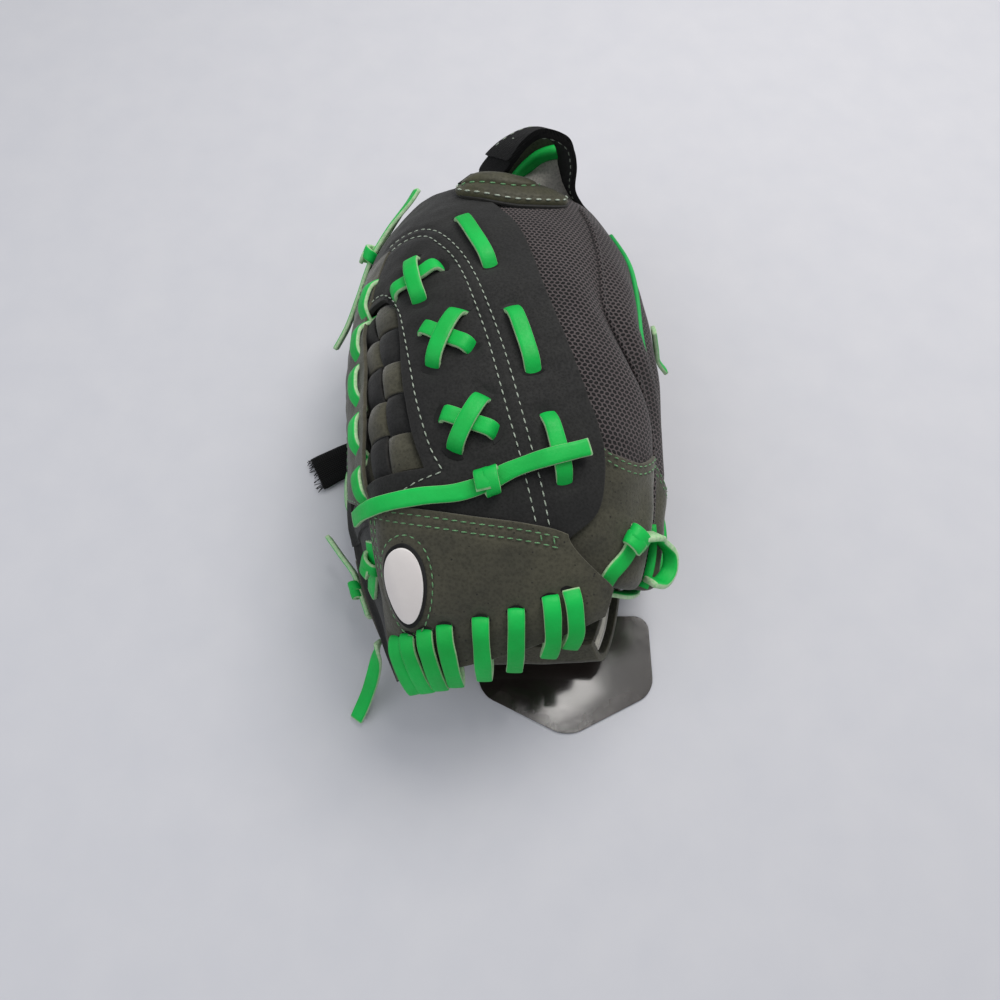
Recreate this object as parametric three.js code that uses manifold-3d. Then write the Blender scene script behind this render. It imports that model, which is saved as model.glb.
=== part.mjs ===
// A closed softball glove lying on its thumb: finger half above, thumb half below, web on the left.
// Millimetres, +Z up. +Y runs to the wrist, +X to the open mouth, the origin is on the flat under the thumb.
import * as THREE from "three";
import { mergeVertices } from "three/addons/utils/BufferGeometryUtils.js";
import Module from "manifold-3d";

const wasm = await Module();
wasm.setup();

// Driving dimensions, in millimetres and degrees
const LEATHER = 2.2; // shell leather
const LAYER_GAP = 0.55; // air between two layers that lie on each other
const EDGE_GAP = 0.5; // air between two panels that meet edge to edge
const HINGE_Z = 35; // height of the line where the web meets the thumb
const SHOULDER = 0.07; // how much fuller than an ellipse the section is
const FINGER_WALL = 28; // back to palm, through a finger stall
const FINGER_WALL_TIP = 17; // the same at the fingertips
const FINGER_WALL_HEEL = 19; // and at the wrist
const THUMB_WALL = 25;
const THUMB_WALL_TIP = 16;
const THUMB_WALL_HEEL = 17;
const FELT = 3.6; // palm padding
const LINING = 1.2;
const GROOVE_DEPTH = 4.5; // valley between two fingers
const GROOVE_WIDTH_DEG = 6;
const PIPING_RADIUS = 1.2;
const LACE_WIDTH = 6.6;
const LACE_THICK = 2.1;
const LACE_CLEARANCE = 0.4; // round a lace in its hole
const LACE_REST = 0.6; // under a lace that lies on leather
const WEB_HOLLOW = 5; // depth of the web's palm side leather
const STRIP_THICK = 1.3; // woven strips of the web
const STRIP_FILL = 0.72; // share of the pitch that a strip covers
const STRAP_THICK = 2.4;
const STRAP_RISE = 22; // how far the strap arches above the hand opening
const TAG_WIDTH = 82;
const TAG_THICK = 0.6;

// Places along the glove
const WRIST_EDGE_Y = 90; // finger backs end here
const HEEL_Y = 110; // palm leather ends here
const WALL_THINS_Y = 55; // the walls thin from here to the heel
const STRAP_FAR_Y = 124;
const FINGER_CAP_Y = -30; // mesh backs end and suede fingertips start
const FINGERTIP_Y = -90;
const PINKY_SHORTER = 30; // how much sooner the mouth edge of the fingers ends
const FINGER_BASE_Y = 15; // stalls separate here
const WEB_TOP_Y = 100;
const WEB_BACK_TOP_Y = 88; // palm side of the web
const CAP_OVERLAP = 9; // web cap over the web panel
const THUMB_CAP_Y = -62;
const THUMB_TIP_Y = -108;
const WINDOW_NEAR_WRIST_Y = 32;
const WINDOW_NEAR_TIP_Y = -50;
const TAG_TIP_Y = -136;
const TAG_TOP_Y = -79;
const TAG_X = 31;

// Places around the glove: 0 is the mouth side, 90 the top, 180 the web hinge, 270 the table
const HINGE_GAP_DEG = 0.35;
const WEB_HINGE_DEG = 180 - HINGE_GAP_DEG;
const THUMB_HINGE_DEG = 180 + 2 * HINGE_GAP_DEG;
const INDEX_WEB_SIDE_DEG = 88;
const STALL_WALL_DEG = 1.3;
const PINKY_EDGE_DEG = -20;
const THUMB_EDGE_DEG = 319;
const WINDOW_HINGE_SIDE_DEG = 168;

// Woven strips in the web window
const WEAVE_LONG = 3;
const WEAVE_CROSS = 5;

// Outer form at each station: half-widths to the left and right, and the heights of the top and the bottom.
// A bottom below zero is pressed flat on the table.
const STATIONS = [
  { y: 126, left: 34, right: 46, top: 80, bottom: 30 },
  { y: 112, left: 46, right: 54, top: 89, bottom: 19 },
  { y: 95, left: 56, right: 61, top: 98, bottom: 8 },
  { y: 70, left: 66, right: 70, top: 107, bottom: -1 },
  { y: 40, left: 71, right: 75, top: 112, bottom: -4 },
  { y: 5, left: 73, right: 77, top: 114, bottom: -4 },
  { y: -27, left: 72, right: 76, top: 112, bottom: -3 },
  { y: -54, left: 68, right: 74, top: 106, bottom: 0 },
  { y: -76, left: 62, right: 70, top: 96, bottom: 4 },
  { y: -95, left: 54, right: 64, top: 82, bottom: 9 },
  { y: -109, left: 47, right: 56, top: 65, bottom: 15 },
  { y: -121, left: 41, right: 47, top: 44, bottom: 22 },
  { y: -129, left: 35, right: 38, top: 36, bottom: 28 },
];

const rad = (degrees) => (degrees * Math.PI) / 180;
const mix = (a, b, t) => a + (b - a) * t;
const clamp01 = (t) => Math.min(1, Math.max(0, t));
const smooth = (t) => clamp01(t) ** 2 * (3 - 2 * clamp01(t));

// Cubic through a list of [place, value] pairs, level past both ends
function curveThrough(pairs) {
  const up = [...pairs].sort((a, b) => a[0] - b[0]);
  const slope = (i) => {
    const a = up[Math.max(0, i - 1)];
    const b = up[Math.min(up.length - 1, i + 1)];
    return (b[1] - a[1]) / (b[0] - a[0]);
  };
  return (x) => {
    if (x <= up[0][0]) return up[0][1];
    if (x >= up.at(-1)[0]) return up.at(-1)[1];
    const i = up.findIndex((p) => p[0] > x) - 1;
    const w = up[i + 1][0] - up[i][0];
    const t = (x - up[i][0]) / w;
    const ends = up[i][1] * (1 - t) ** 2 * (1 + 2 * t) + up[i + 1][1] * t * t * (3 - 2 * t);
    return ends + w * (slope(i) * t * (1 - t) ** 2 - slope(i + 1) * t * t * (1 - t));
  };
}

const half = Object.fromEntries(
  ["left", "right", "top", "bottom"].map((k) => [k, curveThrough(STATIONS.map((s) => [s.y, s[k]]))]),
);

// A point of the outer form before the fingers' valleys are pressed in
function form(degrees, y) {
  const c = Math.cos(rad(degrees));
  const s = Math.sin(rad(degrees));
  const full = 1 + SHOULDER * Math.sin(2 * rad(degrees)) ** 2;
  const rise = s < 0 ? HINGE_Z - half.bottom(y) : half.top(y) - HINGE_Z;
  return new THREE.Vector3(c * full * (c < 0 ? half.left(y) : half.right(y)), y, HINGE_Z + s * full * rise);
}

function outward(degrees, y) {
  const step = 0.5;
  const along = form(degrees, y + step).sub(form(degrees, y - step));
  const round = form(degrees + step, y).sub(form(degrees - step, y));
  return along.cross(round).normalize();
}

// How many degrees round the form a length takes up
const degreesFor = (length, degrees, y) => length / form(degrees + 0.5, y).distanceTo(form(degrees - 0.5, y));

// Borders between the fingers, which fan out towards the wrist
const fan = (y) => smooth((y + 30) / 65);
const indexMiddle = (y) => mix(30, 55, fan(y));
const middleRing = (y) => mix(12, 34, fan(y));
const ringPinky = (y) => mix(-4, 9, fan(y));
const FINGER_BORDERS = [indexMiddle, middleRing, ringPinky];

function groove(degrees, y) {
  const deep = GROOVE_DEPTH * smooth((78 - y) / 60);
  const share = (border) => Math.exp(-(((degrees - border(y)) / GROOVE_WIDTH_DEG) ** 2));
  return -deep * FINGER_BORDERS.reduce((sum, border) => sum + share(border), 0);
}

// A point h millimetres outside the form; the valleys fade out towards the palm
function onGlove(degrees, y, h) {
  const p = form(degrees, y);
  p.z = Math.max(p.z, 0);
  const fade = clamp01(1 + h / FINGER_WALL_TIP);
  return p.addScaledVector(outward(degrees, y), h + groove(degrees, y) * fade);
}

const FULL_FINGER_DEG = 52; // fingers are at their longest from here to the web
function fingertipY(degrees) {
  const towardsPinky = clamp01((FULL_FINGER_DEG - degrees) / (FULL_FINGER_DEG - PINKY_EDGE_DEG));
  return FINGERTIP_Y + PINKY_SHORTER * towardsPinky ** 2;
}
const wallBetween = (heel, middle, tip, tipY) => (y) => {
  if (y < 0) return mix(middle, tip, clamp01(y / tipY));
  return mix(middle, heel, clamp01((y - WALL_THINS_Y) / (HEEL_Y - WALL_THINS_Y)));
};
const fingerWall = wallBetween(FINGER_WALL_HEEL, FINGER_WALL, FINGER_WALL_TIP, FINGERTIP_Y);
const thumbWall = wallBetween(THUMB_WALL_HEEL, THUMB_WALL, THUMB_WALL_TIP, THUMB_TIP_Y);

// Closed solid between two grids of points with the same rows and columns
function between(top, under) {
  const rows = top.length;
  const columns = top[0].length;
  const points = [...top.flat(), ...under.flat()];
  const at = (side, r, c) => side * rows * columns + r * columns + c;
  const faces = [];
  const quad = (a, b, c, d) => faces.push(a, b, c, a, c, d);
  for (let r = 0; r < rows - 1; r++) {
    for (let c = 0; c < columns - 1; c++) {
      quad(at(0, r, c), at(0, r, c + 1), at(0, r + 1, c + 1), at(0, r + 1, c));
      quad(at(1, r, c), at(1, r + 1, c), at(1, r + 1, c + 1), at(1, r, c + 1));
    }
    quad(at(0, r, 0), at(0, r + 1, 0), at(1, r + 1, 0), at(1, r, 0));
    quad(at(0, r, columns - 1), at(1, r, columns - 1), at(1, r + 1, columns - 1), at(0, r + 1, columns - 1));
  }
  for (let c = 0; c < columns - 1; c++) {
    quad(at(0, 0, c), at(1, 0, c), at(1, 0, c + 1), at(0, 0, c + 1));
    quad(at(0, rows - 1, c), at(0, rows - 1, c + 1), at(1, rows - 1, c + 1), at(1, rows - 1, c));
  }
  const volume = faces.reduce((sum, _, i) => {
    if (i % 3) return sum;
    const [a, b, c] = [points[faces[i]], points[faces[i + 1]], points[faces[i + 2]]];
    return sum + a.dot(new THREE.Vector3().crossVectors(b, c));
  }, 0);
  if (volume < 0) faces.reverse();
  return geometryOf(points.flatMap((p) => [p.x, p.y, p.z]), faces);
}

function geometryOf(coordinates, faces) {
  const g = new THREE.BufferGeometry();
  g.setAttribute("position", new THREE.Float32BufferAttribute(coordinates, 3));
  g.setIndex(Array.from(faces));
  return g;
}

const share = (n) => Array.from({ length: n + 1 }, (_, i) => i / n);
const always = (value) => (typeof value === "function" ? value : () => value);

// Leather of even thickness on the form: place(s, t) gives [degrees, y], from low to high outside the form
function sheet(place, low, high, across, along) {
  const grid = (h) =>
    share(along).map((t) => share(across).map((s) => onGlove(...place(s, t), always(h)(...place(s, t)))));
  return between(grid(high), grid(low));
}

// A panel between two borders, each an angle or a function of y
const panel = (fromDeg, toDeg, fromY, toY) => (s, t) => {
  const y = mix(fromY, toY, t);
  return [mix(always(fromDeg)(y), always(toDeg)(y), s), y];
};

// An oval, as a square pulled round
const oval = (midDeg, midY, halfDeg, halfY) => (s, t) => {
  const a = 2 * s - 1;
  const b = 2 * t - 1;
  return [midDeg + halfDeg * a * Math.sqrt(1 - (b * b) / 2), midY + halfY * b * Math.sqrt(1 - (a * a) / 2)];
};

// Standing wall between two stalls: thick round the form, tall through it
function stallWall(middle, fromY, toY, low, high, along) {
  const face = (shift) =>
    share(along).map((t) => {
      const y = mix(fromY, toY, t);
      return [low(y), high(y)].map((h) => onGlove(middle(y) + shift, y, h));
    });
  return between(face(STALL_WALL_DEG / 2), face(-STALL_WALL_DEG / 2));
}

// Flat lace along a smooth path. Each stop is [point, side], side pointing across the lace.
function laceAlong(stops, steps, width = LACE_WIDTH, thick = LACE_THICK) {
  const line = new THREE.CatmullRomCurve3(stops.map((s) => s[0]), false, "centripetal");
  const rows = share(steps).map((t) => {
    const p = line.getPoint(t);
    const ahead = line.getTangent(t);
    const place = t * (stops.length - 1);
    const i = Math.min(Math.floor(place), stops.length - 2);
    const across = stops[i][1].clone().lerp(stops[i + 1][1], place - i);
    across.addScaledVector(ahead, -across.dot(ahead)).normalize();
    const up = across.clone().cross(ahead).normalize();
    return { p, across, up };
  });
  const corner = ({ p, across, up }, way, end) =>
    p.clone().addScaledVector(up, (way * thick) / 2).addScaledVector(across, (end * width) / 2);
  const face = (way) => rows.map((row) => [-1, 1].map((end) => corner(row, way, end)));
  return between(face(1), face(-1));
}

// A stop of a lace on the glove: its heading in the surface is given by a neighbouring place
function stop(degrees, y, h, towardsDeg, towardsY) {
  const p = onGlove(degrees, y, h);
  const heading = onGlove(towardsDeg, towardsY, h).sub(p);
  return [p, heading.cross(outward(degrees, y)).normalize()];
}

// Joins and cuts
function toSolid(g) {
  const bare = g.clone();
  bare.deleteAttribute("normal");
  bare.deleteAttribute("uv");
  const m = mergeVertices(bare, 1e-4);
  return new wasm.Manifold(
    new wasm.Mesh({
      numProp: 3,
      vertProperties: new Float32Array(m.attributes.position.array),
      triVerts: new Uint32Array(m.index.array),
    }),
  );
}

function fromSolid(s) {
  const m = s.getMesh();
  return geometryOf(Array.from(m.vertProperties), m.triVerts);
}

// What is left of a piece after the cuts; offcuts fall away
function cut(g, ...tools) {
  const left = tools.reduce((s, tool) => s.subtract(toSolid(tool)), toSolid(g));
  return fromSolid(left.decompose().reduce((a, b) => (b.volume() > a.volume() ? b : a)));
}

// Materials
const material = (color, roughness) => new THREE.MeshStandardMaterial({ color, roughness, metalness: 0 });
const BLACK_LEATHER = material(0x242322, 0.8);
const GREY_SUEDE = material(0x45423a, 0.9);
const MESH_FABRIC = material(0x4a4448, 0.9);
const OLIVE_LEATHER = material(0x55523f, 0.7);
const GREEN_LACE = material(0x14b84a, 0.6);
const FELT_PAD = material(0xb9b4a6, 1);
const LINING_LEATHER = material(0x6e6a60, 0.85);
const WEBBING = material(0x0d0c0c, 0.9);
const BADGE = material(0xdcd6d0, 0.5);
const CARD = material(0x171310, 0.2);

const glove = new THREE.Group();
const fingerHalf = new THREE.Group();
const thumbHalf = new THREE.Group();
const strapGroup = new THREE.Group();
const tagGroup = new THREE.Group();
glove.add(thumbHalf, fingerHalf, strapGroup, tagGroup);

function add(group, name, geometry, look) {
  const mesh = new THREE.Mesh(geometry, look);
  mesh.name = name;
  group.add(mesh);
}

// Layers of the shell, as heights outside the form
const BACK = [-LEATHER, 0];
const OVER = [LAYER_GAP, LAYER_GAP + LEATHER];
const CAP = [OVER[1] + LAYER_GAP, OVER[1] + LAYER_GAP + LEATHER];
const LACE_OVER = OVER[1] + LACE_REST + LACE_THICK / 2;
const LACE_UNDER = BACK[0] - LACE_REST - LACE_THICK / 2;
const WEB_BACK = [-LEATHER - WEB_HOLLOW, -WEB_HOLLOW];

// Web and index finger lacing: a running lace beside three crossed laces
const runningLaceAngle = curveThrough([
  [92, 113],
  [68, 103.5],
  [42, 94],
  [14, 86],
  [-10, 81],
  [-33, 76],
  [-53, 72],
  [-64, 70],
]);
const RUNNING_STITCHES = [
  [70, 41],
  [15, -11],
  [-32, -54],
];
// Each crossing has a lace that lies over and one that lies under, with its reach in degrees and millimetres
const CROSSINGS = [
  { degrees: 117.4, y: 36, over: [2.2, 12.5], under: [-7.8, 5.4] },
  { degrees: 106.4, y: 3, over: [-3.9, 13], under: [7.8, 6] },
  { degrees: 99.4, y: -34, over: [-4.5, 10.5], under: [8, 4] },
];
const DIVE = 2.4; // how far a lace runs on while it dives through the leather

const HOLE_WIDTH = LACE_WIDTH + 6 * LACE_CLEARANCE;
const HOLE_THICK = LACE_THICK + 4 * LACE_CLEARANCE;

// Slanted slot for a lace that dives from one stop to another
const slotBetween = (from, to) => laceAlong([from, to], 1, HOLE_WIDTH, HOLE_THICK);

// A lace that shows as a row of stitches: up through one hole, along the leather, down through the next
function stitchedLace(stitches, angleAt, high) {
  const at = (y, h) => stop(angleAt(y), y, h, angleAt(y - 1), y - 1);
  const through = (high + LACE_UNDER) / 2;
  const last = stitches.length - 1;
  const stops = stitches.flatMap(([a, b], i) => {
    const rise = [at(a + DIVE, through), at(a - DIVE, high)];
    const fall = [at(b + DIVE, high), at(b - DIVE, through)];
    if (i > 0) rise.unshift(at(a + 3 * DIVE, LACE_UNDER));
    if (i < last) fall.push(at(b - 3 * DIVE, LACE_UNDER));
    return [...rise, at((a + b) / 2, high), ...fall];
  });
  const beyond = (high - through) / 2;
  const holes = stitches.flatMap(([a, b]) => [
    slotBetween(at(a + 4 * DIVE, LACE_UNDER - beyond), at(a - 2 * DIVE, high + beyond)),
    slotBetween(at(b + 2 * DIVE, high + beyond), at(b - 4 * DIVE, LACE_UNDER - beyond)),
  ]);
  return { lace: laceAlong(stops, (stops.length - 1) * 2), holes };
}
const runningLace = stitchedLace(RUNNING_STITCHES, runningLaceAngle, LACE_OVER);

// A lace that crosses another three times, over or under it in turn
function crossingLace(turns) {
  const under = OVER[0] - LACE_REST - LACE_CLEARANCE - LACE_THICK / 2;
  const holes = [];
  const stops = CROSSINGS.flatMap(({ degrees, y, ...reaches }, i) => {
    const [reachDeg, reachY] = reaches[turns[i]];
    const lift = turns[i] === "over" ? LACE_THICK + LACE_REST : 0;
    const place = (f) => [degrees + f * reachDeg, y + f * reachY];
    const at = (f, h) => stop(...place(f), h, ...place(f - 0.1));
    const beyond = (LACE_OVER - under) / 2;
    for (const end of [1, -1])
      holes.push(slotBetween(at(end * 1.26, under - beyond), at(end * 0.62, LACE_OVER + beyond)));
    const raised = [at(0.3, LACE_OVER + lift), at(-0.3, LACE_OVER + lift)];
    return [at(1.08, under), at(0.8, LACE_OVER), ...raised, at(-0.8, LACE_OVER), at(-1.08, under)];
  });
  return { lace: laceAlong(stops, (stops.length - 1) * 2), holes };
}
const crossingLaces = [
  crossingLace(["over", "over", "under"]),
  crossingLace(["under", "under", "over"]),
];

// Finger half: four mesh backs with suede fingertips
const panelEdgeDeg = EDGE_GAP;
const FINGERS = [
  { name: "index", from: () => INDEX_WEB_SIDE_DEG, to: indexMiddle },
  { name: "middle", from: indexMiddle, to: middleRing },
  { name: "ring", from: middleRing, to: ringPinky },
  { name: "pinky", from: ringPinky, to: () => PINKY_EDGE_DEG },
];
for (const { name, from, to } of FINGERS) {
  const a = (y) => from(y) - panelEdgeDeg;
  const b = (y) => to(y) + panelEdgeDeg;
  const backPlace = panel(a, b, WRIST_EDGE_Y, FINGER_CAP_Y + EDGE_GAP);
  const back = sheet(backPlace, ...BACK, name === "index" ? 6 : 4, 9);
  add(fingerHalf, name + "_back", name === "index" ? cut(back, ...runningLace.holes) : back, MESH_FABRIC);

  // The fingertip runs on from the back, turns down and closes the stall
  const profile = (degrees, inner) => {
    const tip = fingertipY(degrees) + inner;
    const floor = -fingerWall(tip);
    return [
      [FINGER_CAP_Y, -inner],
      [mix(FINGER_CAP_Y, tip, 0.4), -inner],
      [mix(FINGER_CAP_Y, tip, 0.8), -inner],
      [tip + 4, -inner - 1],
      [tip, -inner - 5],
      [tip, floor],
    ];
  };
  const grid = (inner) =>
    share(4).map((s) => {
      const degreesAt = (y) => mix(a(y), b(y), s);
      return profile(degreesAt(FINGERTIP_Y), inner).map(([y, h]) => onGlove(degreesAt(y), y, h));
    });
  const tip = between(grid(0), grid(LEATHER));
  add(fingerHalf, name + "_fingertip", name === "index" ? cut(tip, ...runningLace.holes) : tip, GREY_SUEDE);
}

// Round cord along a path of points
function cordAlong(points, steps, radius, sides) {
  const outline = new THREE.Shape(
    share(sides)
      .slice(0, sides)
      .map((t) => new THREE.Vector2(radius * Math.cos(2 * Math.PI * t), radius * Math.sin(2 * Math.PI * t))),
  );
  const line = new THREE.CatmullRomCurve3(points, false, "centripetal");
  return new THREE.ExtrudeGeometry(outline, { steps, extrudePath: line });
}

const pipingNames = ["index_middle_piping", "middle_ring_piping", "ring_pinky_piping"];
const wallNames = ["index_middle_fourchette", "middle_ring_fourchette", "ring_pinky_fourchette"];
const PALM_STACK = LEATHER + FELT + LINING + 2 * LAYER_GAP;
const stallFloor = (y) => -fingerWall(y) + PALM_STACK + 2 * LAYER_GAP;
FINGER_BORDERS.forEach((border, i) => {
  const tip = fingertipY(border(FINGERTIP_Y)) + 4;
  const stops = share(8).map((t) => {
    const y = mix(WRIST_EDGE_Y - 4, tip, t);
    return onGlove(border(y), y, PIPING_RADIUS + LAYER_GAP);
  });
  add(fingerHalf, pipingNames[i], cordAlong(stops, 12, PIPING_RADIUS, 5), GREEN_LACE);
  const top = () => LACE_UNDER - LACE_THICK;
  add(fingerHalf, wallNames[i], stallWall(border, FINGER_BASE_Y, tip, stallFloor, top, 8), LINING_LEATHER);
});

// Palm side of the fingers: leather, felt and lining, closed at both sides by walls
const palmFingers = (s, t) => {
  const degrees = mix(INDEX_WEB_SIDE_DEG, PINKY_EDGE_DEG, s);
  return [degrees, mix(HEEL_Y, fingertipY(degrees) + LEATHER + 2 * EDGE_GAP, t)];
};
const palmLayers = [
  { name: "palm_leather", thick: LEATHER, look: GREY_SUEDE },
  { name: "palm_felt", thick: FELT, look: FELT_PAD },
  { name: "palm_lining", thick: LINING, look: LINING_LEATHER },
];
function palmStack(group, suffix, place, wall) {
  let bottom = 0;
  for (const { name, thick, look } of palmLayers) {
    const low = bottom;
    const lowAt = (_, y) => -wall(y) + low;
    const highAt = (_, y) => -wall(y) + low + thick;
    add(group, name + suffix, sheet(place, lowAt, highAt, 9, 7), look);
    bottom += thick + LAYER_GAP;
  }
}
palmStack(fingerHalf, "_fingers", palmFingers, fingerWall);

const wallTop = () => LACE_UNDER - LACE_THICK;
const indexWall = () => INDEX_WEB_SIDE_DEG - STALL_WALL_DEG;
const pinkyWall = () => PINKY_EDGE_DEG + STALL_WALL_DEG;
const pinkyTip = fingertipY(PINKY_EDGE_DEG) + 7;
const sideWall = (at, tip, top) => stallWall(at, WRIST_EDGE_Y, tip, stallFloor, top, 9);
add(fingerHalf, "index_side_wall", sideWall(indexWall, FINGERTIP_Y + 4, wallTop), GREY_SUEDE);
add(fingerHalf, "pinky_side_wall", sideWall(pinkyWall, pinkyTip, () => BACK[0] - LAYER_GAP), GREY_SUEDE);

// Web: black panel over the index finger's side, with a window of woven strips
const webEdge = curveThrough([
  [100, 112],
  [92, 100],
  [64, 84],
  [25, 76],
  [-18, 66],
  [-37, 61],
  [-53, 60],
  [-66, 62],
  [-76, 70],
  [-86, 80],
]);
const capSeamY = curveThrough([
  [50, -82],
  [71, -72.5],
  [82, -70],
  [102, -67],
  [122, -62],
  [142, -54],
  [180, -47],
]);
const capEdgeY = curveThrough([
  [50, -95],
  [64, -102],
  [84, -108.5],
  [102, -111.5],
  [140, -115.5],
  [180, -117],
]);
const windowEdge = (y) =>
  mix(110, 131, (y - WINDOW_NEAR_TIP_Y) / (WINDOW_NEAR_WRIST_Y - WINDOW_NEAR_TIP_Y));

const webWindow = panel(windowEdge, WINDOW_HINGE_SIDE_DEG, WINDOW_NEAR_WRIST_Y, WINDOW_NEAR_TIP_Y);
const windowTool = sheet(webWindow, WEB_BACK[0] - LEATHER, OVER[1] + LEATHER, 5, 5);

const webPanelPlace = (s, t) => {
  const farY = (degrees) => capSeamY(degrees) - CAP_OVERLAP;
  const y0 = mix(WEB_TOP_Y, farY(webEdge(-70)), t);
  const degrees = mix(webEdge(y0), WEB_HINGE_DEG, s);
  return [degrees, mix(WEB_TOP_Y, farY(degrees), t)];
};
const crossHoles = crossingLaces.flatMap((l) => l.holes);
const webPanel = sheet(webPanelPlace, ...OVER, 14, 12);
add(fingerHalf, "web_panel", cut(webPanel, windowTool, ...runningLace.holes, ...crossHoles), BLACK_LEATHER);

const webBackPlace = (s, t) => {
  const start = (y) => Math.max(INDEX_WEB_SIDE_DEG + EDGE_GAP, runningLaceAngle(y) + LACE_WIDTH);
  const y0 = mix(WEB_BACK_TOP_Y, capEdgeY(INDEX_WEB_SIDE_DEG), t);
  const degrees = mix(start(y0), WEB_HINGE_DEG, s);
  return [degrees, mix(WEB_BACK_TOP_Y, capEdgeY(degrees) + LACE_WIDTH, t)];
};
add(fingerHalf, "web_palm_side", cut(sheet(webBackPlace, ...WEB_BACK, 12, 9), windowTool), BLACK_LEATHER);

// Woven strips pass over and under each other between the web's two leathers
const weaveMiddle = (OVER[0] + WEB_BACK[1]) / 2;
const weaveSwing = (OVER[0] - WEB_BACK[1]) / 2 - 1.2 * LAYER_GAP - STRIP_THICK / 2;
const TUCK = 0.3; // how far a strip runs on under the frame along the glove, in pitches
const TUCK_ROUND = 0.12; // and round it
function weaveStops(count, tuck) {
  const stops = Array.from({ length: count }, (_, i) => [i - 0.4, i, i + 0.4]).flat();
  return [-0.5 - tuck, ...stops.slice(1, -1), count - 0.5 + tuck];
}
const side = (i, j) => ((i + j) % 2 ? 1 : -1);

function wovenStrip(index, count, crossed, isLong) {
  const stops = weaveStops(crossed, isLong ? TUCK : TUCK_ROUND);
  const edges = [-STRIP_FILL / 2, 0, STRIP_FILL / 2];
  const grid = (rise) =>
    stops.map((v, k) =>
      edges.map((e) => {
        const longShare = ((isLong ? index + e : v) + 0.5) / WEAVE_LONG;
        const crossShare = ((isLong ? v : index + e) + 0.5) / WEAVE_CROSS;
        const y = mix(WINDOW_NEAR_WRIST_Y, WINDOW_NEAR_TIP_Y, crossShare);
        const degrees = mix(windowEdge(y), WINDOW_HINGE_SIDE_DEG, longShare);
        const over = side(index, Math.floor(k / 3)) * (isLong ? 1 : -1);
        return onGlove(degrees, y, weaveMiddle + over * weaveSwing + rise);
      }),
    );
  return between(grid(STRIP_THICK / 2), grid(-STRIP_THICK / 2));
}
for (let j = 0; j < WEAVE_LONG; j++)
  add(fingerHalf, "web_long_strip_" + (j + 1), wovenStrip(j, WEAVE_LONG, WEAVE_CROSS, true), BLACK_LEATHER);
for (let i = 0; i < WEAVE_CROSS; i++)
  add(fingerHalf, "web_cross_strip_" + (i + 1), wovenStrip(i, WEAVE_CROSS, WEAVE_LONG, false), GREY_SUEDE);

// Web cap: the suede top of the web, whipped along its free edge
const CAP_LACE_AT = [63, 70.3, 84, 101, 115.5, 126.5, 137.5, 148.5];
const CAP_LACE_REACH = 12; // hole to free edge, along the glove
const CAP_LACE_LEAN = 0.165; // the laces' holes lie closer together than their turns round the edge
const CAP_MOUTH_DEG = 54;
const capPlace = (s, t) => {
  const degrees = mix(mix(70, CAP_MOUTH_DEG, smooth(2 * t)), WEB_HINGE_DEG, s);
  return [degrees, mix(capSeamY(degrees), capEdgeY(degrees), t)];
};
const capLaceHigh = CAP[1] + LACE_REST + LACE_THICK / 2;
const capLaceLow = CAP[0] - LACE_REST - LACE_THICK / 2;
const capLaceTurn = (capLaceHigh - capLaceLow) / 2;
const capSlotDeg = (d) => d - CAP_LACE_LEAN * (d - INDEX_WEB_SIDE_DEG);
function capLace() {
  const middle = (capLaceHigh + capLaceLow) / 2;
  const at = (d, back, h) => {
    const place = (b) => [mix(d, capSlotDeg(d), clamp01(b / CAP_LACE_REACH)), capEdgeY(d) + b];
    return stop(...place(back), h, ...place(back - 1));
  };
  const stops = CAP_LACE_AT.flatMap((d, i) => {
    const over = [at(d, CAP_LACE_REACH - capLaceTurn, capLaceHigh), at(d, 0, capLaceHigh)];
    const round = [at(d, -capLaceTurn - LACE_THICK, middle), at(d, 0, capLaceLow)];
    const next = CAP_LACE_AT[i + 1];
    if (!next) return [...over, ...round];
    const rise = [at(next, CAP_LACE_REACH - capLaceTurn, capLaceLow), at(next, CAP_LACE_REACH, middle)];
    return [...over, ...round, ...rise];
  });
  return laceAlong(stops, (stops.length - 1) * 2);
}
function capSlot(d) {
  const y = capEdgeY(d) + CAP_LACE_REACH;
  const middle = capSlotDeg(d);
  const reach = degreesFor(HOLE_WIDTH / 2 + LACE_CLEARANCE, middle, y);
  const back = capLaceTurn + LACE_THICK / 2;
  const place = panel(middle - reach, middle + reach, y - back, y + HOLE_THICK / 2 + LACE_CLEARANCE);
  return sheet(place, CAP[0] - LEATHER, CAP[1] + LEATHER, 1, 1);
}
const cap = sheet(capPlace, ...CAP, 14, 6);
add(fingerHalf, "web_cap", cut(cap, ...CAP_LACE_AT.map(capSlot)), GREY_SUEDE);
add(fingerHalf, "web_cap_lace", capLace(), GREEN_LACE);
const BADGE_THICK = 1.4;
const badgeLow = CAP[1] + LAYER_GAP;
const badgePlace = oval(124.5, -87, 7.8, 11.8);
add(fingerHalf, "web_badge", sheet(badgePlace, badgeLow, badgeLow + BADGE_THICK, 6, 6), BADGE);

add(fingerHalf, "web_index_lace", runningLace.lace, GREEN_LACE);
crossingLaces.forEach(({ lace }, i) => add(fingerHalf, "web_cross_lace_" + (i + 1), lace, GREEN_LACE));

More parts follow.
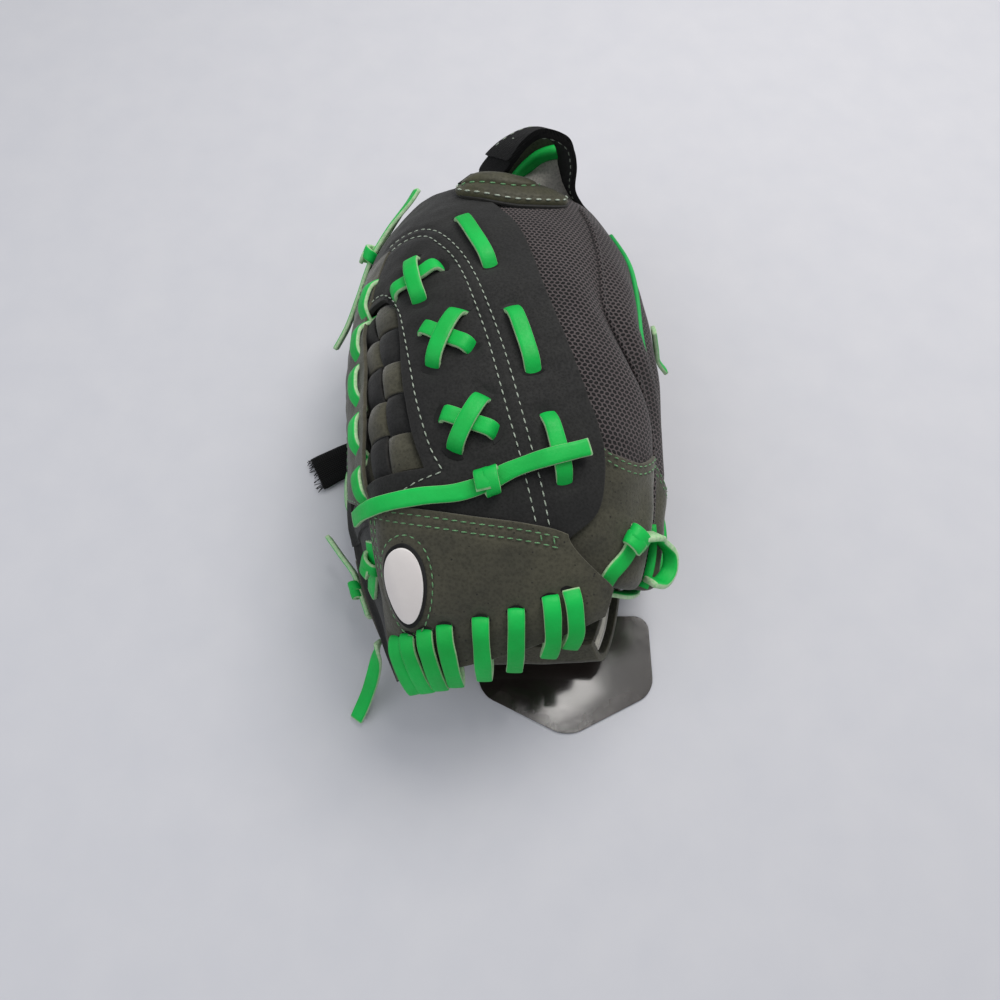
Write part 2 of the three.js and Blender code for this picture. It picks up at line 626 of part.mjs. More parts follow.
// Wrist collar over the top edge of the finger backs: a padded oval with a crown
const COLLAR = { degrees: 87, y: 93, halfDeg: 26, halfY: 9.8, rim: 1.4, crown: 3.2 };
const collarLow = OVER[1] + LAYER_GAP;
const collarTop = (d, y) => {
  const out = ((d - COLLAR.degrees) / COLLAR.halfDeg) ** 2 + ((y - COLLAR.y) / COLLAR.halfY) ** 2;
  return collarLow + COLLAR.rim + COLLAR.crown * Math.max(0, 1 - out);
};
const collarPlace = oval(COLLAR.degrees, COLLAR.y, COLLAR.halfDeg, COLLAR.halfY);
add(fingerHalf, "wrist_collar", sheet(collarPlace, collarLow, collarTop, 8, 6), OLIVE_LEATHER);

// Thumb half
const thumbEdge = () => THUMB_EDGE_DEG;
const thumbStart = () => THUMB_HINGE_DEG;
const thumbBack = sheet(panel(thumbStart, thumbEdge, HEEL_Y, THUMB_CAP_Y + EDGE_GAP), ...BACK, 10, 10);
const thumbPalm = panel(THUMB_HINGE_DEG, THUMB_EDGE_DEG, HEEL_Y, THUMB_TIP_Y + LEATHER + EDGE_GAP);
palmStack(thumbHalf, "_thumb", thumbPalm, thumbWall);

// Running laces of the thumb: one along its free edge, one beside the web
const THUMB_LACE_OVER = BACK[1] + LACE_REST + LACE_THICK / 2;
const THUMB_EDGE_LACE_DEG = THUMB_EDGE_DEG - 6;
const THUMB_EDGE_STITCHES = [
  [76, 56],
  [42, 22],
  [8, -12],
  [-26, -46],
];
const thumbEdgeLace = stitchedLace(THUMB_EDGE_STITCHES, () => THUMB_EDGE_LACE_DEG, THUMB_LACE_OVER);
const THUMB_WEB_LACE_DEG = 193;
const THUMB_WEB_STITCHES = [
  [70, 44],
  [30, 4],
  [-12, -36],
];
const thumbWebLace = stitchedLace(THUMB_WEB_STITCHES, () => THUMB_WEB_LACE_DEG, THUMB_LACE_OVER);
add(thumbHalf, "thumb_back", cut(thumbBack, ...thumbEdgeLace.holes, ...thumbWebLace.holes), BLACK_LEATHER);
add(thumbHalf, "thumb_edge_lace", thumbEdgeLace.lace, GREEN_LACE);
add(thumbHalf, "thumb_web_lace", thumbWebLace.lace, GREEN_LACE);

const thumbProfile = (inner) => {
  const tip = THUMB_TIP_Y + inner;
  return [
    [THUMB_CAP_Y, -inner],
    [mix(THUMB_CAP_Y, tip, 0.5), -inner],
    [tip + 5, -inner - 0.8],
    [tip, -inner - 5],
    [tip, -thumbWall(tip)],
  ];
};
const thumbTipGrid = (inner) =>
  share(8).map((s) =>
    thumbProfile(inner).map(([y, h]) => onGlove(mix(THUMB_HINGE_DEG, THUMB_EDGE_DEG, s), y, h)),
  );
add(thumbHalf, "thumb_tip", between(thumbTipGrid(0), thumbTipGrid(LEATHER)), GREY_SUEDE);

const thumbFloor = (y) => -thumbWall(y) + PALM_STACK + 2 * LAYER_GAP;
const thumbWallTop = () => LACE_UNDER - LACE_THICK;
const thumbSide = (at) => stallWall(() => at, HEEL_Y - 4, THUMB_TIP_Y + 6, thumbFloor, thumbWallTop, 9);
add(thumbHalf, "thumb_web_side_wall", thumbSide(THUMB_HINGE_DEG + 2 * STALL_WALL_DEG), GREY_SUEDE);
add(thumbHalf, "thumb_edge_side_wall", thumbSide(THUMB_EDGE_LACE_DEG - LACE_WIDTH), GREY_SUEDE);

// Lace in the heel, on the lining behind the strap
const heelLaceH = (y) => -fingerWall(y) + PALM_STACK + LACE_REST + LACE_THICK / 2;
const HEEL_LACE_Y = HEEL_Y - 7;
const heelStops = share(6).map((t) => {
  const d = mix(82, 18, t);
  return stop(d, HEEL_LACE_Y, heelLaceH(HEEL_LACE_Y), d - 1, HEEL_LACE_Y);
});
add(fingerHalf, "heel_lace", laceAlong(heelStops, 12), GREEN_LACE);

// Lace that holds the fingertips together, knotted over the index fingertip
const ahead = (d) => fingertipY(d) - LACE_REST - LACE_THICK;
const tipLacePlaces = [
  [49, -68, THUMB_LACE_OVER],
  [48, -76, THUMB_LACE_OVER],
  [47, -84, THUMB_LACE_OVER],
  [45, -91.5, -2.5],
  [40, ahead(40), -8.5],
  [28, ahead(28), -8.5],
  [14, ahead(14), -8.5],
  [0, ahead(0), -8.5],
  [-12, ahead(-12), -8.5],
];
function tipLaceStop([d, y, h], i) {
  const p = onGlove(d, y, h);
  if (i < 4) return stop(d, y, h, d, y - 1);
  return [p, outward(d, y)];
}
const knotOf = (d, y, h, round, tall) => {
  const ball = new THREE.SphereGeometry(1, 8, 6).scale(round, round, tall);
  const turn = new THREE.Quaternion().setFromUnitVectors(new THREE.Vector3(0, 0, 1), outward(d, y));
  const p = onGlove(d, y, h);
  return ball.applyQuaternion(turn).translate(p.x, p.y, p.z);
};
const join = (...pieces) => fromSolid(pieces.map(toSolid).reduce((a, b) => a.add(b)));
const tiedLace = (places, knot) => {
  const stops = places.map(([d, y, h], i) => {
    const [nd, ny] = places[i + 1] ?? [2 * d - places[i - 1][0], 2 * y - places[i - 1][1]];
    return stop(d, y, h, nd, ny);
  });
  const lace = laceAlong(stops, stops.length * 2);
  return knot ? join(lace, knot) : lace;
};
const KNOT_ROUND = 5.6;
const KNOT_TALL = 3.6;
const onPanel = OVER[1] + LACE_REST + LACE_THICK / 2;
const onCap = CAP[1] + LACE_REST + LACE_THICK / 2;
const onLace = onPanel + LACE_THICK + LACE_REST;
const knotOn = (high) => high - LACE_THICK / 2 + KNOT_TALL;
const tipKnot = knotOf(48, -76, knotOn(THUMB_LACE_OVER), KNOT_ROUND, KNOT_TALL);
const tipLace = laceAlong(tipLacePlaces.map(tipLaceStop), 22);
add(fingerHalf, "fingertip_lace", join(tipLace, tipKnot), GREEN_LACE);
const tipTail = [
  [43, -69, THUMB_LACE_OVER - 1.1],
  [37, -66, THUMB_LACE_OVER - 0.7],
  [29, -63.5, THUMB_LACE_OVER + 3.5],
  [21, -66, THUMB_LACE_OVER + 5],
  [18, -74, THUMB_LACE_OVER + 5.5],
  [21, -81, THUMB_LACE_OVER + 4.5],
];
add(fingerHalf, "fingertip_lace_tail", tiedLace(tipTail), GREEN_LACE);

// Ties whose ends lie loose on the web
const webTie = [
  [148, -60, onCap + 1],
  [136, -60.5, onCap + 0.4],
  [125, -60.3, onCap + 0.4],
  [113.5, -60, onCap],
  [102.6, -59.6, onPanel + 0.8],
  [93.5, -56.5, onPanel],
  [88, -53, onPanel],
  [82, -50, onPanel + 0.8],
  [77, -48, onLace],
  [70, -45, onLace],
  [66, -43, onLace - 0.4],
];
const webKnot = knotOf(93.5, -56.5, knotOn(onPanel), KNOT_ROUND, KNOT_TALL);
add(fingerHalf, "web_tie", tiedLace(webTie, webKnot), GREEN_LACE);
const upperTie = [
  [137, 98, onPanel + 1.5],
  [141, 90, onPanel],
  [149, 77, onPanel],
  [160, 64, onPanel],
  [169, 53, onPanel + 1.2],
  [174, 45, onPanel + 3],
];
const upperKnot = knotOf(149, 77, knotOn(onPanel), KNOT_ROUND, KNOT_TALL);
add(fingerHalf, "upper_tie", tiedLace(upperTie, upperKnot), GREEN_LACE);
const thumbTie = [
  [189, -78, THUMB_LACE_OVER - 0.3],
  [189, -68, THUMB_LACE_OVER - 0.3],
  [190, -58, THUMB_LACE_OVER + 2],
  [191, -49, THUMB_LACE_OVER + 5],
];
const thumbKnot = knotOf(189, -74, knotOn(THUMB_LACE_OVER), KNOT_ROUND * 0.8, KNOT_TALL);
add(thumbHalf, "thumb_tie", tiedLace(thumbTie, thumbKnot), GREEN_LACE);
const onRing = [
  [22, 41, THUMB_LACE_OVER],
  [15, 37, THUMB_LACE_OVER + 0.6],
  [9, 34, THUMB_LACE_OVER + 3],
];
add(fingerHalf, "finger_lace_end", tiedLace(onRing), GREEN_LACE);

// Tail at the thumb tip that runs down to the table
const TAIL_END = new THREE.Vector3(-66, -128, LACE_THICK);
const tailStart = stop(190, -98, THUMB_LACE_OVER, 190, -99);
const tailSide = new THREE.Vector3(0.75, -0.6, 0.1).normalize();
const tailStops = [
  tailStart,
  [new THREE.Vector3(-56, -109, 22), tailSide],
  [new THREE.Vector3(-61, -119, 9), tailSide],
  [TAIL_END, tailSide],
];
add(thumbHalf, "thumb_tip_tail", laceAlong(tailStops, 10), GREEN_LACE);

// Wrist strap: sewn to a tab on the mouth side, arched over the hand opening, hooked to a tab on the web side
const STRAP_FROM_DEG = 22;
const STRAP_TO_DEG = 130;
const STRAP_FOOT = 0.14; // share of the strap that lies on each tab
const tabFar = STRAP_FAR_Y - 1;
const anchorTab = sheet(panel(10, 42, WRIST_EDGE_Y + EDGE_GAP, tabFar), ...BACK, 4, 4);
const landingTab = sheet(panel(113, 142, WRIST_EDGE_Y - 4, tabFar), BACK[0] - LAYER_GAP, -LAYER_GAP, 4, 5);
add(fingerHalf, "strap_anchor_tab", anchorTab, BLACK_LEATHER);
add(fingerHalf, "strap_landing_tab", landingTab, BLACK_LEATHER);
const strapRise = (d) => {
  const u = (d - STRAP_FROM_DEG) / (STRAP_TO_DEG - STRAP_FROM_DEG);
  return STRAP_RISE * Math.sin(Math.PI * clamp01((u - STRAP_FOOT) / (1 - 2 * STRAP_FOOT))) ** 1.3;
};
function strapPart(fromDeg, toDeg, low, thick, across) {
  const place = panel(fromDeg, toDeg, WEB_TOP_Y + 2 * EDGE_GAP, STRAP_FAR_Y);
  const grid = (h) =>
    share(2).map((t) =>
      share(across).map((s) => {
        const [d, y] = place(s, t);
        const lift = outward(d, y).setY(0).normalize();
        return onGlove(d, y, h).addScaledVector(lift, strapRise(d));
      }),
    );
  return between(grid(low + thick), grid(low));
}
add(strapGroup, "wrist_strap", strapPart(STRAP_FROM_DEG, STRAP_TO_DEG, LAYER_GAP, STRAP_THICK, 18), WEBBING);
const coverLow = LAYER_GAP + STRAP_THICK + 2 * LAYER_GAP;
add(strapGroup, "strap_cover", strapPart(88, STRAP_TO_DEG - 6, coverLow, STRAP_THICK, 8), BLACK_LEATHER);

// Pull tab that sticks out from under the thumb
const TAB_WIDTH = 20;
const TAB_THICK = 1.4;
const TAB_Y = 9;
const tabSide = new THREE.Vector3(0, 1, 0);
const tabStops = [
  onGlove(229, TAB_Y, TAB_THICK / 2 + LAYER_GAP),
  onGlove(221, TAB_Y, TAB_THICK / 2 + LAYER_GAP),
  new THREE.Vector3(-72, TAB_Y, 4.5),
  new THREE.Vector3(-85, TAB_Y, 4),
  new THREE.Vector3(-97, TAB_Y, 2.4),
].map((p) => [p, tabSide]);
add(thumbHalf, "thumb_pull_tab", laceAlong(tabStops, 8, TAB_WIDTH, TAB_THICK), WEBBING);

// Hang tag on the table, tied to the thumb
const TAG_SHOULDER_Y = -116;
const TAG_LIFT = 0.25;
const TAG_HOLE_RADIUS = 1.5;
const TAG_HOLE_Y = TAG_TOP_Y - 6;
const tagShape = new THREE.Shape(
  [
    [-TAG_WIDTH / 2, TAG_TOP_Y],
    [-TAG_WIDTH / 2, TAG_SHOULDER_Y],
    [0, TAG_TIP_Y],
    [TAG_WIDTH / 2, TAG_SHOULDER_Y],
    [TAG_WIDTH / 2, TAG_TOP_Y],
  ].map(([x, y]) => new THREE.Vector2(TAG_X + x, y)),
);
tagShape.holes.push(new THREE.Path().absarc(TAG_X, TAG_HOLE_Y, TAG_HOLE_RADIUS, 0, 2 * Math.PI, true));
const tagDepth = { depth: TAG_THICK, bevelEnabled: false, curveSegments: 6 };
const tagSheet = new THREE.ExtrudeGeometry(tagShape, tagDepth);
add(tagGroup, "hang_tag", tagSheet.translate(0, 0, TAG_LIFT), CARD);
const LOOP_RADIUS = 0.8;
const loopTop = onGlove(300, TAG_HOLE_Y + 1, LOOP_RADIUS + LAYER_GAP);
const loopPoints = [
  new THREE.Vector3(TAG_X, TAG_HOLE_Y, TAG_LIFT),
  new THREE.Vector3(TAG_X, TAG_HOLE_Y, TAG_LIFT + 2),
  new THREE.Vector3(TAG_X, TAG_HOLE_Y + 0.5, loopTop.z - 2),
  loopTop,
];
add(thumbHalf, "tag_loop", cordAlong(loopPoints, 8, LOOP_RADIUS, 6), GREEN_LACE);

export default glove;
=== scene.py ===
"""Softball glove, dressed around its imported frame: leather, mesh, laces, stitching, strap and tag."""

from __future__ import annotations

import logging
import math
import random
from dataclasses import dataclass
from enum import Enum
from typing import Callable, Sequence

import bmesh
import bpy
import numpy as np
from mathutils import Matrix, Vector

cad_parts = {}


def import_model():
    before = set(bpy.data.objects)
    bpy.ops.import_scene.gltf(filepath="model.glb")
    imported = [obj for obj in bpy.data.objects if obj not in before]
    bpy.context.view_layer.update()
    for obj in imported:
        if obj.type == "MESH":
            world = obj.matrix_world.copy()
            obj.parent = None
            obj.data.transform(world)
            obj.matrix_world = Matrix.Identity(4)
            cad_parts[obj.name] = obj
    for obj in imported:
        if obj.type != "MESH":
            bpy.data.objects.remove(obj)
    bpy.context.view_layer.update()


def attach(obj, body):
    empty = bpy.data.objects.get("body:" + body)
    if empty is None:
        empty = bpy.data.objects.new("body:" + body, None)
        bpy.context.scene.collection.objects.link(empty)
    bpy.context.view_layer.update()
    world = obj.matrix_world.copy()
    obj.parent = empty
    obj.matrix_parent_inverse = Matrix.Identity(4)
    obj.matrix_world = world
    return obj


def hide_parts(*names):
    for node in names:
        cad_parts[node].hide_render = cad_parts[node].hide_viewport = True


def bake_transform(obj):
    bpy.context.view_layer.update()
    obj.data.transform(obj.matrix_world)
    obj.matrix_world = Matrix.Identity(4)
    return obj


log = logging.getLogger("glove")

MM = 0.001
# Radians between two faces that make the edge between them sharp.
SHARP = 0.9
# Faces round a cord with a round section.
ROUND_SIDES = 10
Array = np.ndarray
Color = tuple[float, float, float, float]
Spot = tuple[Array, Array]
Place = Callable[[Array, Array], Spot]
Height = Callable[[Array, Array], Array]
Points = Callable[[Array, Array, Array], Array]
Stop = tuple[Array, Array]


class Body(str, Enum):
    """The moving bodies of the frame."""

    THUMB = "thumb_half"
    FINGERS = "finger_half"
    STRAP = "strap"
    TAG = "tag"


class Stuff(Enum):
    """The finishes that a piece can take."""

    BLACK_LEATHER = "black_leather"
    GREY_SUEDE = "grey_suede"
    MESH = "mesh_fabric"
    OLIVE_LEATHER = "olive_leather"
    LACE = "green_lace"
    PIPING = "piping"
    FELT = "felt"
    LINING = "lining"
    WEBBING = "webbing"
    BADGE = "badge"
    CARD = "card"
    PALE_THREAD = "pale_thread"
    GREEN_THREAD = "green_thread"
    # Dark sheets of painted shadow: at the lace holes and round the badge.
    SLIT = "slit"


def srgb(red: float, green: float, blue: float) -> Color:
    """A colour as seen on a screen, 0 to 255 each, as linear light."""

    def linear(value: float) -> float:
        """One channel as linear light."""
        part = value / 255
        return part / 12.92 if part <= 0.04045 else ((part + 0.055) / 1.055) ** 2.4

    return (linear(red), linear(green), linear(blue), 1.0)


def mix(a: Array | float, b: Array | float, t: Array | float) -> Array:
    """The value that lies part of the way from one to another.

    Args:
        a: The first value.
        b: The last value.
        t: The share of the way.

    Returns:
        The value there.
    """
    return a + (b - a) * np.asarray(t, float)


def clamp01(t: Array | float) -> Array:
    """t kept from 0 to 1."""
    return np.clip(t, 0.0, 1.0)


def smooth(t: Array | float) -> Array:
    """A soft step from 0 to 1."""
    c = clamp01(t)
    return c * c * (3 - 2 * c)


def unit(vectors: Array) -> Array:
    """Vectors of length one along the last axis."""
    return vectors / np.maximum(np.linalg.norm(vectors, axis=-1, keepdims=True), 1e-9)


def level(value: float) -> Height:
    """A height that is the same everywhere."""
    return lambda degrees, y: np.full(np.shape(y), float(value))


class Curve:
    """Smooth curve through pairs of place and value, level past both ends."""

    def __init__(self, *pairs: tuple[float, float]) -> None:
        """Keeps the pairs in order.

        Args:
            pairs: Each a place and the value there.
        """
        ordered = np.array(sorted(pairs), float)
        self.x, self.v = ordered[:, 0], ordered[:, 1]
        steps = np.arange(len(self.x))
        lower, upper = np.maximum(steps - 1, 0), np.minimum(steps + 1, len(self.x) - 1)
        self.slope = (self.v[upper] - self.v[lower]) / (self.x[upper] - self.x[lower])

    def __call__(self, place: Array | float) -> Array:
        """The curve's value at a place."""
        x = np.clip(np.asarray(place, float), self.x[0], self.x[-1])
        i = np.clip(np.searchsorted(self.x, x, side="right") - 1, 0, len(self.x) - 2)
        wide = self.x[i + 1] - self.x[i]
        t = (x - self.x[i]) / wide
        ends = self.v[i] * (1 - t) ** 2 * (1 + 2 * t) + self.v[i + 1] * t * t * (3 - 2 * t)
        return ends + wide * (self.slope[i] * t * (1 - t) ** 2 - self.slope[i + 1] * t * t * (1 - t))


@dataclass(frozen=True)
class Layers:
    """Thicknesses and heights outside the form, in millimetres."""

    leather: float = 2.2
    gap: float = 0.55
    lace_wide: float = 6.6
    lace_thick: float = 2.1
    lace_rest: float = 0.6
    over: tuple[float, float] = (0.55, 2.75)
    cap: tuple[float, float] = (3.3, 5.5)
    web_back: tuple[float, float] = (-7.2, -5.0)
    palm_stack: float = 8.1

    @property
    def on_back(self) -> float:
        """Middle of a lace that lies on the backs."""
        return self.lace_rest + self.lace_thick / 2

    @property
    def on_panel(self) -> float:
        """Middle of a lace that lies on the web panel."""
        return self.over[1] + self.on_back

    @property
    def on_cap(self) -> float:
        """Middle of a lace that lies on the web cap."""
        return self.cap[1] + self.on_back

    @property
    def under_back(self) -> float:
        """Middle of a lace that runs under the backs."""
        return -self.leather - self.on_back


@dataclass
class GloveForm:
    """The glove's outer form: points from an angle round it, a place along it and a height outside it."""

    hinge_z: float = 35.0
    shoulder: float = 0.07
    groove_depth: float = 4.5
    groove_wide: float = 6.0
    groove_from: float = 78.0
    groove_over: float = 60.0
    fan_from: float = -30.0
    fan_over: float = 65.0
    press_deg: tuple[float, float] = (126.0, 182.5)
    press_over: tuple[float, float] = (20.0, 7.0)
    longest_tip: tuple[float, float] = (52.0, -90.0)
    tip_drop: float = 30.0
    tip_over: float = 72.0
    inside: float = 17.0
    heel_from: float = 55.0
    heel_over: float = 55.0
    border_deg: tuple[tuple[float, float], ...] = ((30, 55), (12, 34), (-4, 9))
    finger_depth: tuple[float, ...] = (19, 28, 17, -90)
    thumb_depth: tuple[float, ...] = (17, 25, 16, -108)
    stations: tuple[tuple[float, ...], ...] = (
        (126, 34, 46, 80, 30), (112, 46, 54, 89, 19), (95, 56, 61, 98, 8), (70, 66, 70, 107, -1),
        (40, 71, 75, 112, -4), (5, 73, 77, 114, -4), (-27, 72, 76, 112, -3), (-54, 68, 74, 106, 0),
        (-76, 62, 70, 96, 4), (-95, 54, 64, 82, 9), (-109, 47, 56, 65, 15), (-121, 41, 47, 44, 22),
        (-129, 35, 38, 36, 28),
    )
    side: tuple[tuple[float, float], ...] = (
        (62, 0), (30, 1.5), (8, 3.2), (-18, 5), (-40, 5), (-60, 6.5), (-75, 6), (-95, 5), (-108, 2.5),
        (-120, 1),
    )

    def __post_init__(self) -> None:
        """Draws the four outlines through the stations."""
        self.left, self.right, self.top, self.bottom = (
            Curve(*[(row[0], row[k]) for row in self.stations]) for k in (1, 2, 3, 4)
        )
        self.drawn_in = Curve(*self.side)

    def fan(self, y: Array) -> Array:
        """How far the fingers have fanned out, 0 at the tips and 1 at the wrist."""
        return smooth((np.asarray(y, float) - self.fan_from) / self.fan_over)

    def border(self, index: int, y: Array) -> Array:
        """Angle of one of the three borders between the fingers."""
        tip, wrist = self.border_deg[index]
        return mix(tip, wrist, self.fan(y))

    def outline(self, degrees: Array, y: Array) -> Array:
        """Points of the form before the valleys are pressed in."""
        a = np.radians(degrees)
        c, s = np.cos(a), np.sin(a)
        full = 1 + self.shoulder * np.sin(2 * a) ** 2
        rise = np.where(s < 0, self.hinge_z - self.bottom(y), self.top(y) - self.hinge_z)
        x = c * full * np.where(c < 0, self.left(y), self.right(y))
        return np.stack([x, np.broadcast_to(y, x.shape), self.hinge_z + s * full * rise], -1)

    def outward(self, degrees: Array | float, y: Array | float) -> Array:
        """Directions straight out of the form."""
        degrees, y = np.asarray(degrees, float), np.asarray(y, float)
        along = self.outline(degrees, y + 0.5) - self.outline(degrees, y - 0.5)
        around = self.outline(degrees + 0.5, y) - self.outline(degrees - 0.5, y)
        return unit(np.cross(along, around))

    def groove(self, degrees: Array, y: Array) -> Array:
        """Depth of the valleys between the fingers, below zero."""
        deep = self.groove_depth * smooth((self.groove_from - y) / self.groove_over)
        shares = [np.exp(-(((degrees - self.border(i, y)) / self.groove_wide) ** 2)) for i in range(3)]
        return -deep * sum(shares)

    def press(self, degrees: Array, y: Array) -> Array:
        """How far the web's side is drawn in beside the hinge."""
        (start, end), (rise, fall) = self.press_deg, self.press_over
        return self.drawn_in(y) * smooth((degrees - start) / rise) * smooth((end - degrees) / fall)

    def at(self, degrees: Array | float, y: Array | float, height: Array | float) -> Array:
        """Points on the glove.

        Args:
            degrees: Angles round the form.
            y: Places along it.
            height: Heights outside it.

        Returns:
            Points in millimetres, one row each.
        """
        degrees, y, height = np.broadcast_arrays(*(np.asarray(v, float) for v in (degrees, y, height)))
        p = self.outline(degrees, y)
        p[..., 2] = np.maximum(p[..., 2], 0)
        valley = self.groove(degrees, y) * clamp01(1 + height / self.inside)
        push = height + valley - self.press(degrees, y)
        return p + self.outward(degrees, y) * push[..., None]

    def per_degree(self, degrees: Array | float, y: Array | float) -> Array:
        """Millimetres round the form that one degree takes up."""
        degrees, y = np.asarray(degrees, float), np.asarray(y, float)
        return np.linalg.norm(self.outline(degrees + 0.5, y) - self.outline(degrees - 0.5, y), axis=-1)

    def fingertip_y(self, degrees: Array | float) -> Array:
        """Where the fingers end."""
        longest, tip = self.longest_tip
        return tip + self.tip_drop * clamp01((longest - np.asarray(degrees, float)) / self.tip_over) ** 2

    def finger_wall(self, y: Array | float) -> Array:
        """Depth of the finger half."""
        return self.wall(y, *self.finger_depth)

    def thumb_wall(self, y: Array | float) -> Array:
        """Depth of the thumb half."""
        return self.wall(y, *self.thumb_depth)

    def wall(self, y: Array | float, heel: float, middle: float, tip: float, tip_y: float) -> Array:
        """Depth of one half at a place along it.

        Args:
            y: The place.
            heel: Depth at the heel.
            middle: Depth in the middle.
            tip: Depth at the tip.
            tip_y: Where the tip is.

        Returns:
            The depth in millimetres.
        """
        y = np.asarray(y, float)
        near = mix(middle, tip, clamp01(y / tip_y))
        far = mix(middle, heel, clamp01((y - self.heel_from) / self.heel_over))
        return np.where(y < 0, near, far)

    def stop(self, here: Sequence[float], to: Sequence[float]) -> Stop:
        """A stop of a lace on the glove.

        Args:
            here: Angle, place along and height.
            to: Angle and place along that the lace heads for.

        Returns:
            The point, and the direction across the lace.
        """
        p = self.at(here[0], here[1], here[2])
        heading = self.at(to[0], to[1], here[2]) - p
        across = np.cross(heading, self.outward(here[0], here[1]))
        return p, unit(across)


FORM = GloveForm()
LAYERS = Layers()
# Angle of the web's edge beside the index finger, and of the lace that runs along it.
WEB_EDGE = Curve(
    (100, 112), (92, 100), (64, 84), (25, 76), (-18, 66),
    (-37, 61), (-53, 60), (-66, 62), (-76, 70), (-86, 80),
)
RUNNING_DEG = Curve((92, 113), (68, 103.5), (42, 94), (14, 86), (-10, 81), (-33, 76), (-53, 72), (-64, 70))
# Where the cap is sewn on and where it ends, by angle, and the angle of its side by share along.
CAP_SEAM_Y = Curve((50, -82), (71, -72.5), (82, -70), (102, -67), (122, -62), (142, -54), (180, -47))
CAP_EDGE_Y = Curve((50, -95), (64, -102), (84, -108.5), (102, -111.5), (140, -115.5), (180, -117))
CAP_SIDE_DEG = Curve((0, 134), (0.2, 136.5), (0.5, 138.5), (0.75, 146), (1, 154))
# Angle where the finger half ends at the hinge, and of the lace along the thumb's edge.
HINGE_DEG = 179.65
THUMB_LACE_DEG = 313.0
# Walls between the stalls: their thickness in degrees, the air under them and their upper edge.
WALL_DEG = 1.3
WALL_GAP = 1.1
WALL_TOP = -5.95


def ripple(points: Array, length: float, seed: int) -> Array:
    """Gentle uneven waves in space, about -1 to 1.

    Args:
        points: Places in millimetres.
        length: Usual length of a wave.
        seed: Picks the waves.

    Returns:
        One value for each point.
    """
    waves, usual = 6, 3.2
    dice = random.Random(seed)
    total = np.zeros(points.shape[:-1])
    for _ in range(waves):
        way = np.array([dice.gauss(0, 1) for _ in range(3)])
        way *= 2 * math.pi / (length * dice.uniform(0.7, 1.5)) / np.linalg.norm(way)
        total += np.sin(points @ way + dice.uniform(0, 6.3))
    return total / usual


def away(points: Array, line: Array) -> Array:
    """Distance of each point from a line of close points."""
    best, block = np.full(len(points), 1e9), 64
    for start in range(0, len(line), block):
        gaps = points[:, None, :] - line[None, start : start + block, :]
        best = np.minimum(best, np.sqrt((gaps**2).sum(-1)).min(1))
    return best


def gone_along(points: Array) -> Array:
    """How far along a line each of its points lies."""
    return np.concatenate([[0], np.cumsum(np.linalg.norm(np.diff(points, axis=0), axis=1))])


def part_way(line: Array, share: Array) -> Array:
    """Points a share of the way along a line, counted by its points."""
    steps = np.arange(len(line))
    at = clamp01(share) * steps[-1]
    return np.stack([np.interp(at, steps, line[:, k]) for k in range(3)], -1)


class Route:
    """A line drawn on the glove through places of angle and y, at one height."""

    def __init__(self, places: Sequence[Sequence[float]], height: float | Height, step: float = 0.5) -> None:
        """Draws the line.

        Args:
            places: Angle and place along, in order.
            height: Height outside the form.
            step: Millimetres between its points.
        """
        rough = catmull(np.array([[p[0], p[1], 0.0] for p in places], float), 24)
        lift = height if callable(height) else level(height)
        points = FORM.at(rough[:, 0], rough[:, 1], lift(rough[:, 0], rough[:, 1]))
        gone = gone_along(points)
        self.length = float(gone[-1])
        stations = np.linspace(0, self.length, max(2, int(self.length / step) + 1))
        self.degrees = np.interp(stations, gone, rough[:, 0])
        self.y = np.interp(stations, gone, rough[:, 1])
        self.points = FORM.at(self.degrees, self.y, lift(self.degrees, self.y))
        self.ups = FORM.outward(self.degrees, self.y)
        self.gone = stations

    @classmethod
    def through(cls, points: Array, ups: Array) -> Route:
        """A line through points that aren't on the form, with the way out at each."""
        route = cls.__new__(cls)
        route.points, route.ups = points, ups
        route.gone = gone_along(points)
        route.length = float(route.gone[-1])
        return route


def catmull(points: Array, per_span: int | float, spacing: bool = False) -> Array:
    """A smooth line through points.

    Args:
        points: The places that it goes through.
        per_span: Points in each span, or millimetres between them.
        spacing: Whether per_span is a distance.

    Returns:
        Points along the line, the last place among them.
    """
    ends = [2 * points[0] - points[1], *points, 2 * points[-1] - points[-2]]
    made = []
    for a, b, c, d in zip(ends, ends[1:], ends[2:], ends[3:]):
        t0, t1, t2 = (max(np.linalg.norm(q - p), 1e-4) ** 0.5 for p, q in ((a, b), (b, c), (c, d)))
        m1 = t1 * ((b - a) / t0 - (c - a) / (t0 + t1) + (c - b) / t1)
        m2 = t1 * ((c - b) / t1 - (d - b) / (t1 + t2) + (d - c) / t2)
        count = max(2, int(np.linalg.norm(c - b) / per_span)) if spacing else int(per_span)
        t = (np.arange(count) / count)[:, None]
        bend = (2 * b - 2 * c + m1 + m2) * t**3 + (-3 * b + 3 * c - 2 * m1 - m2) * t**2
        made.append(b + m1 * t + bend)
    return np.concatenate([*made, points[-1:]])


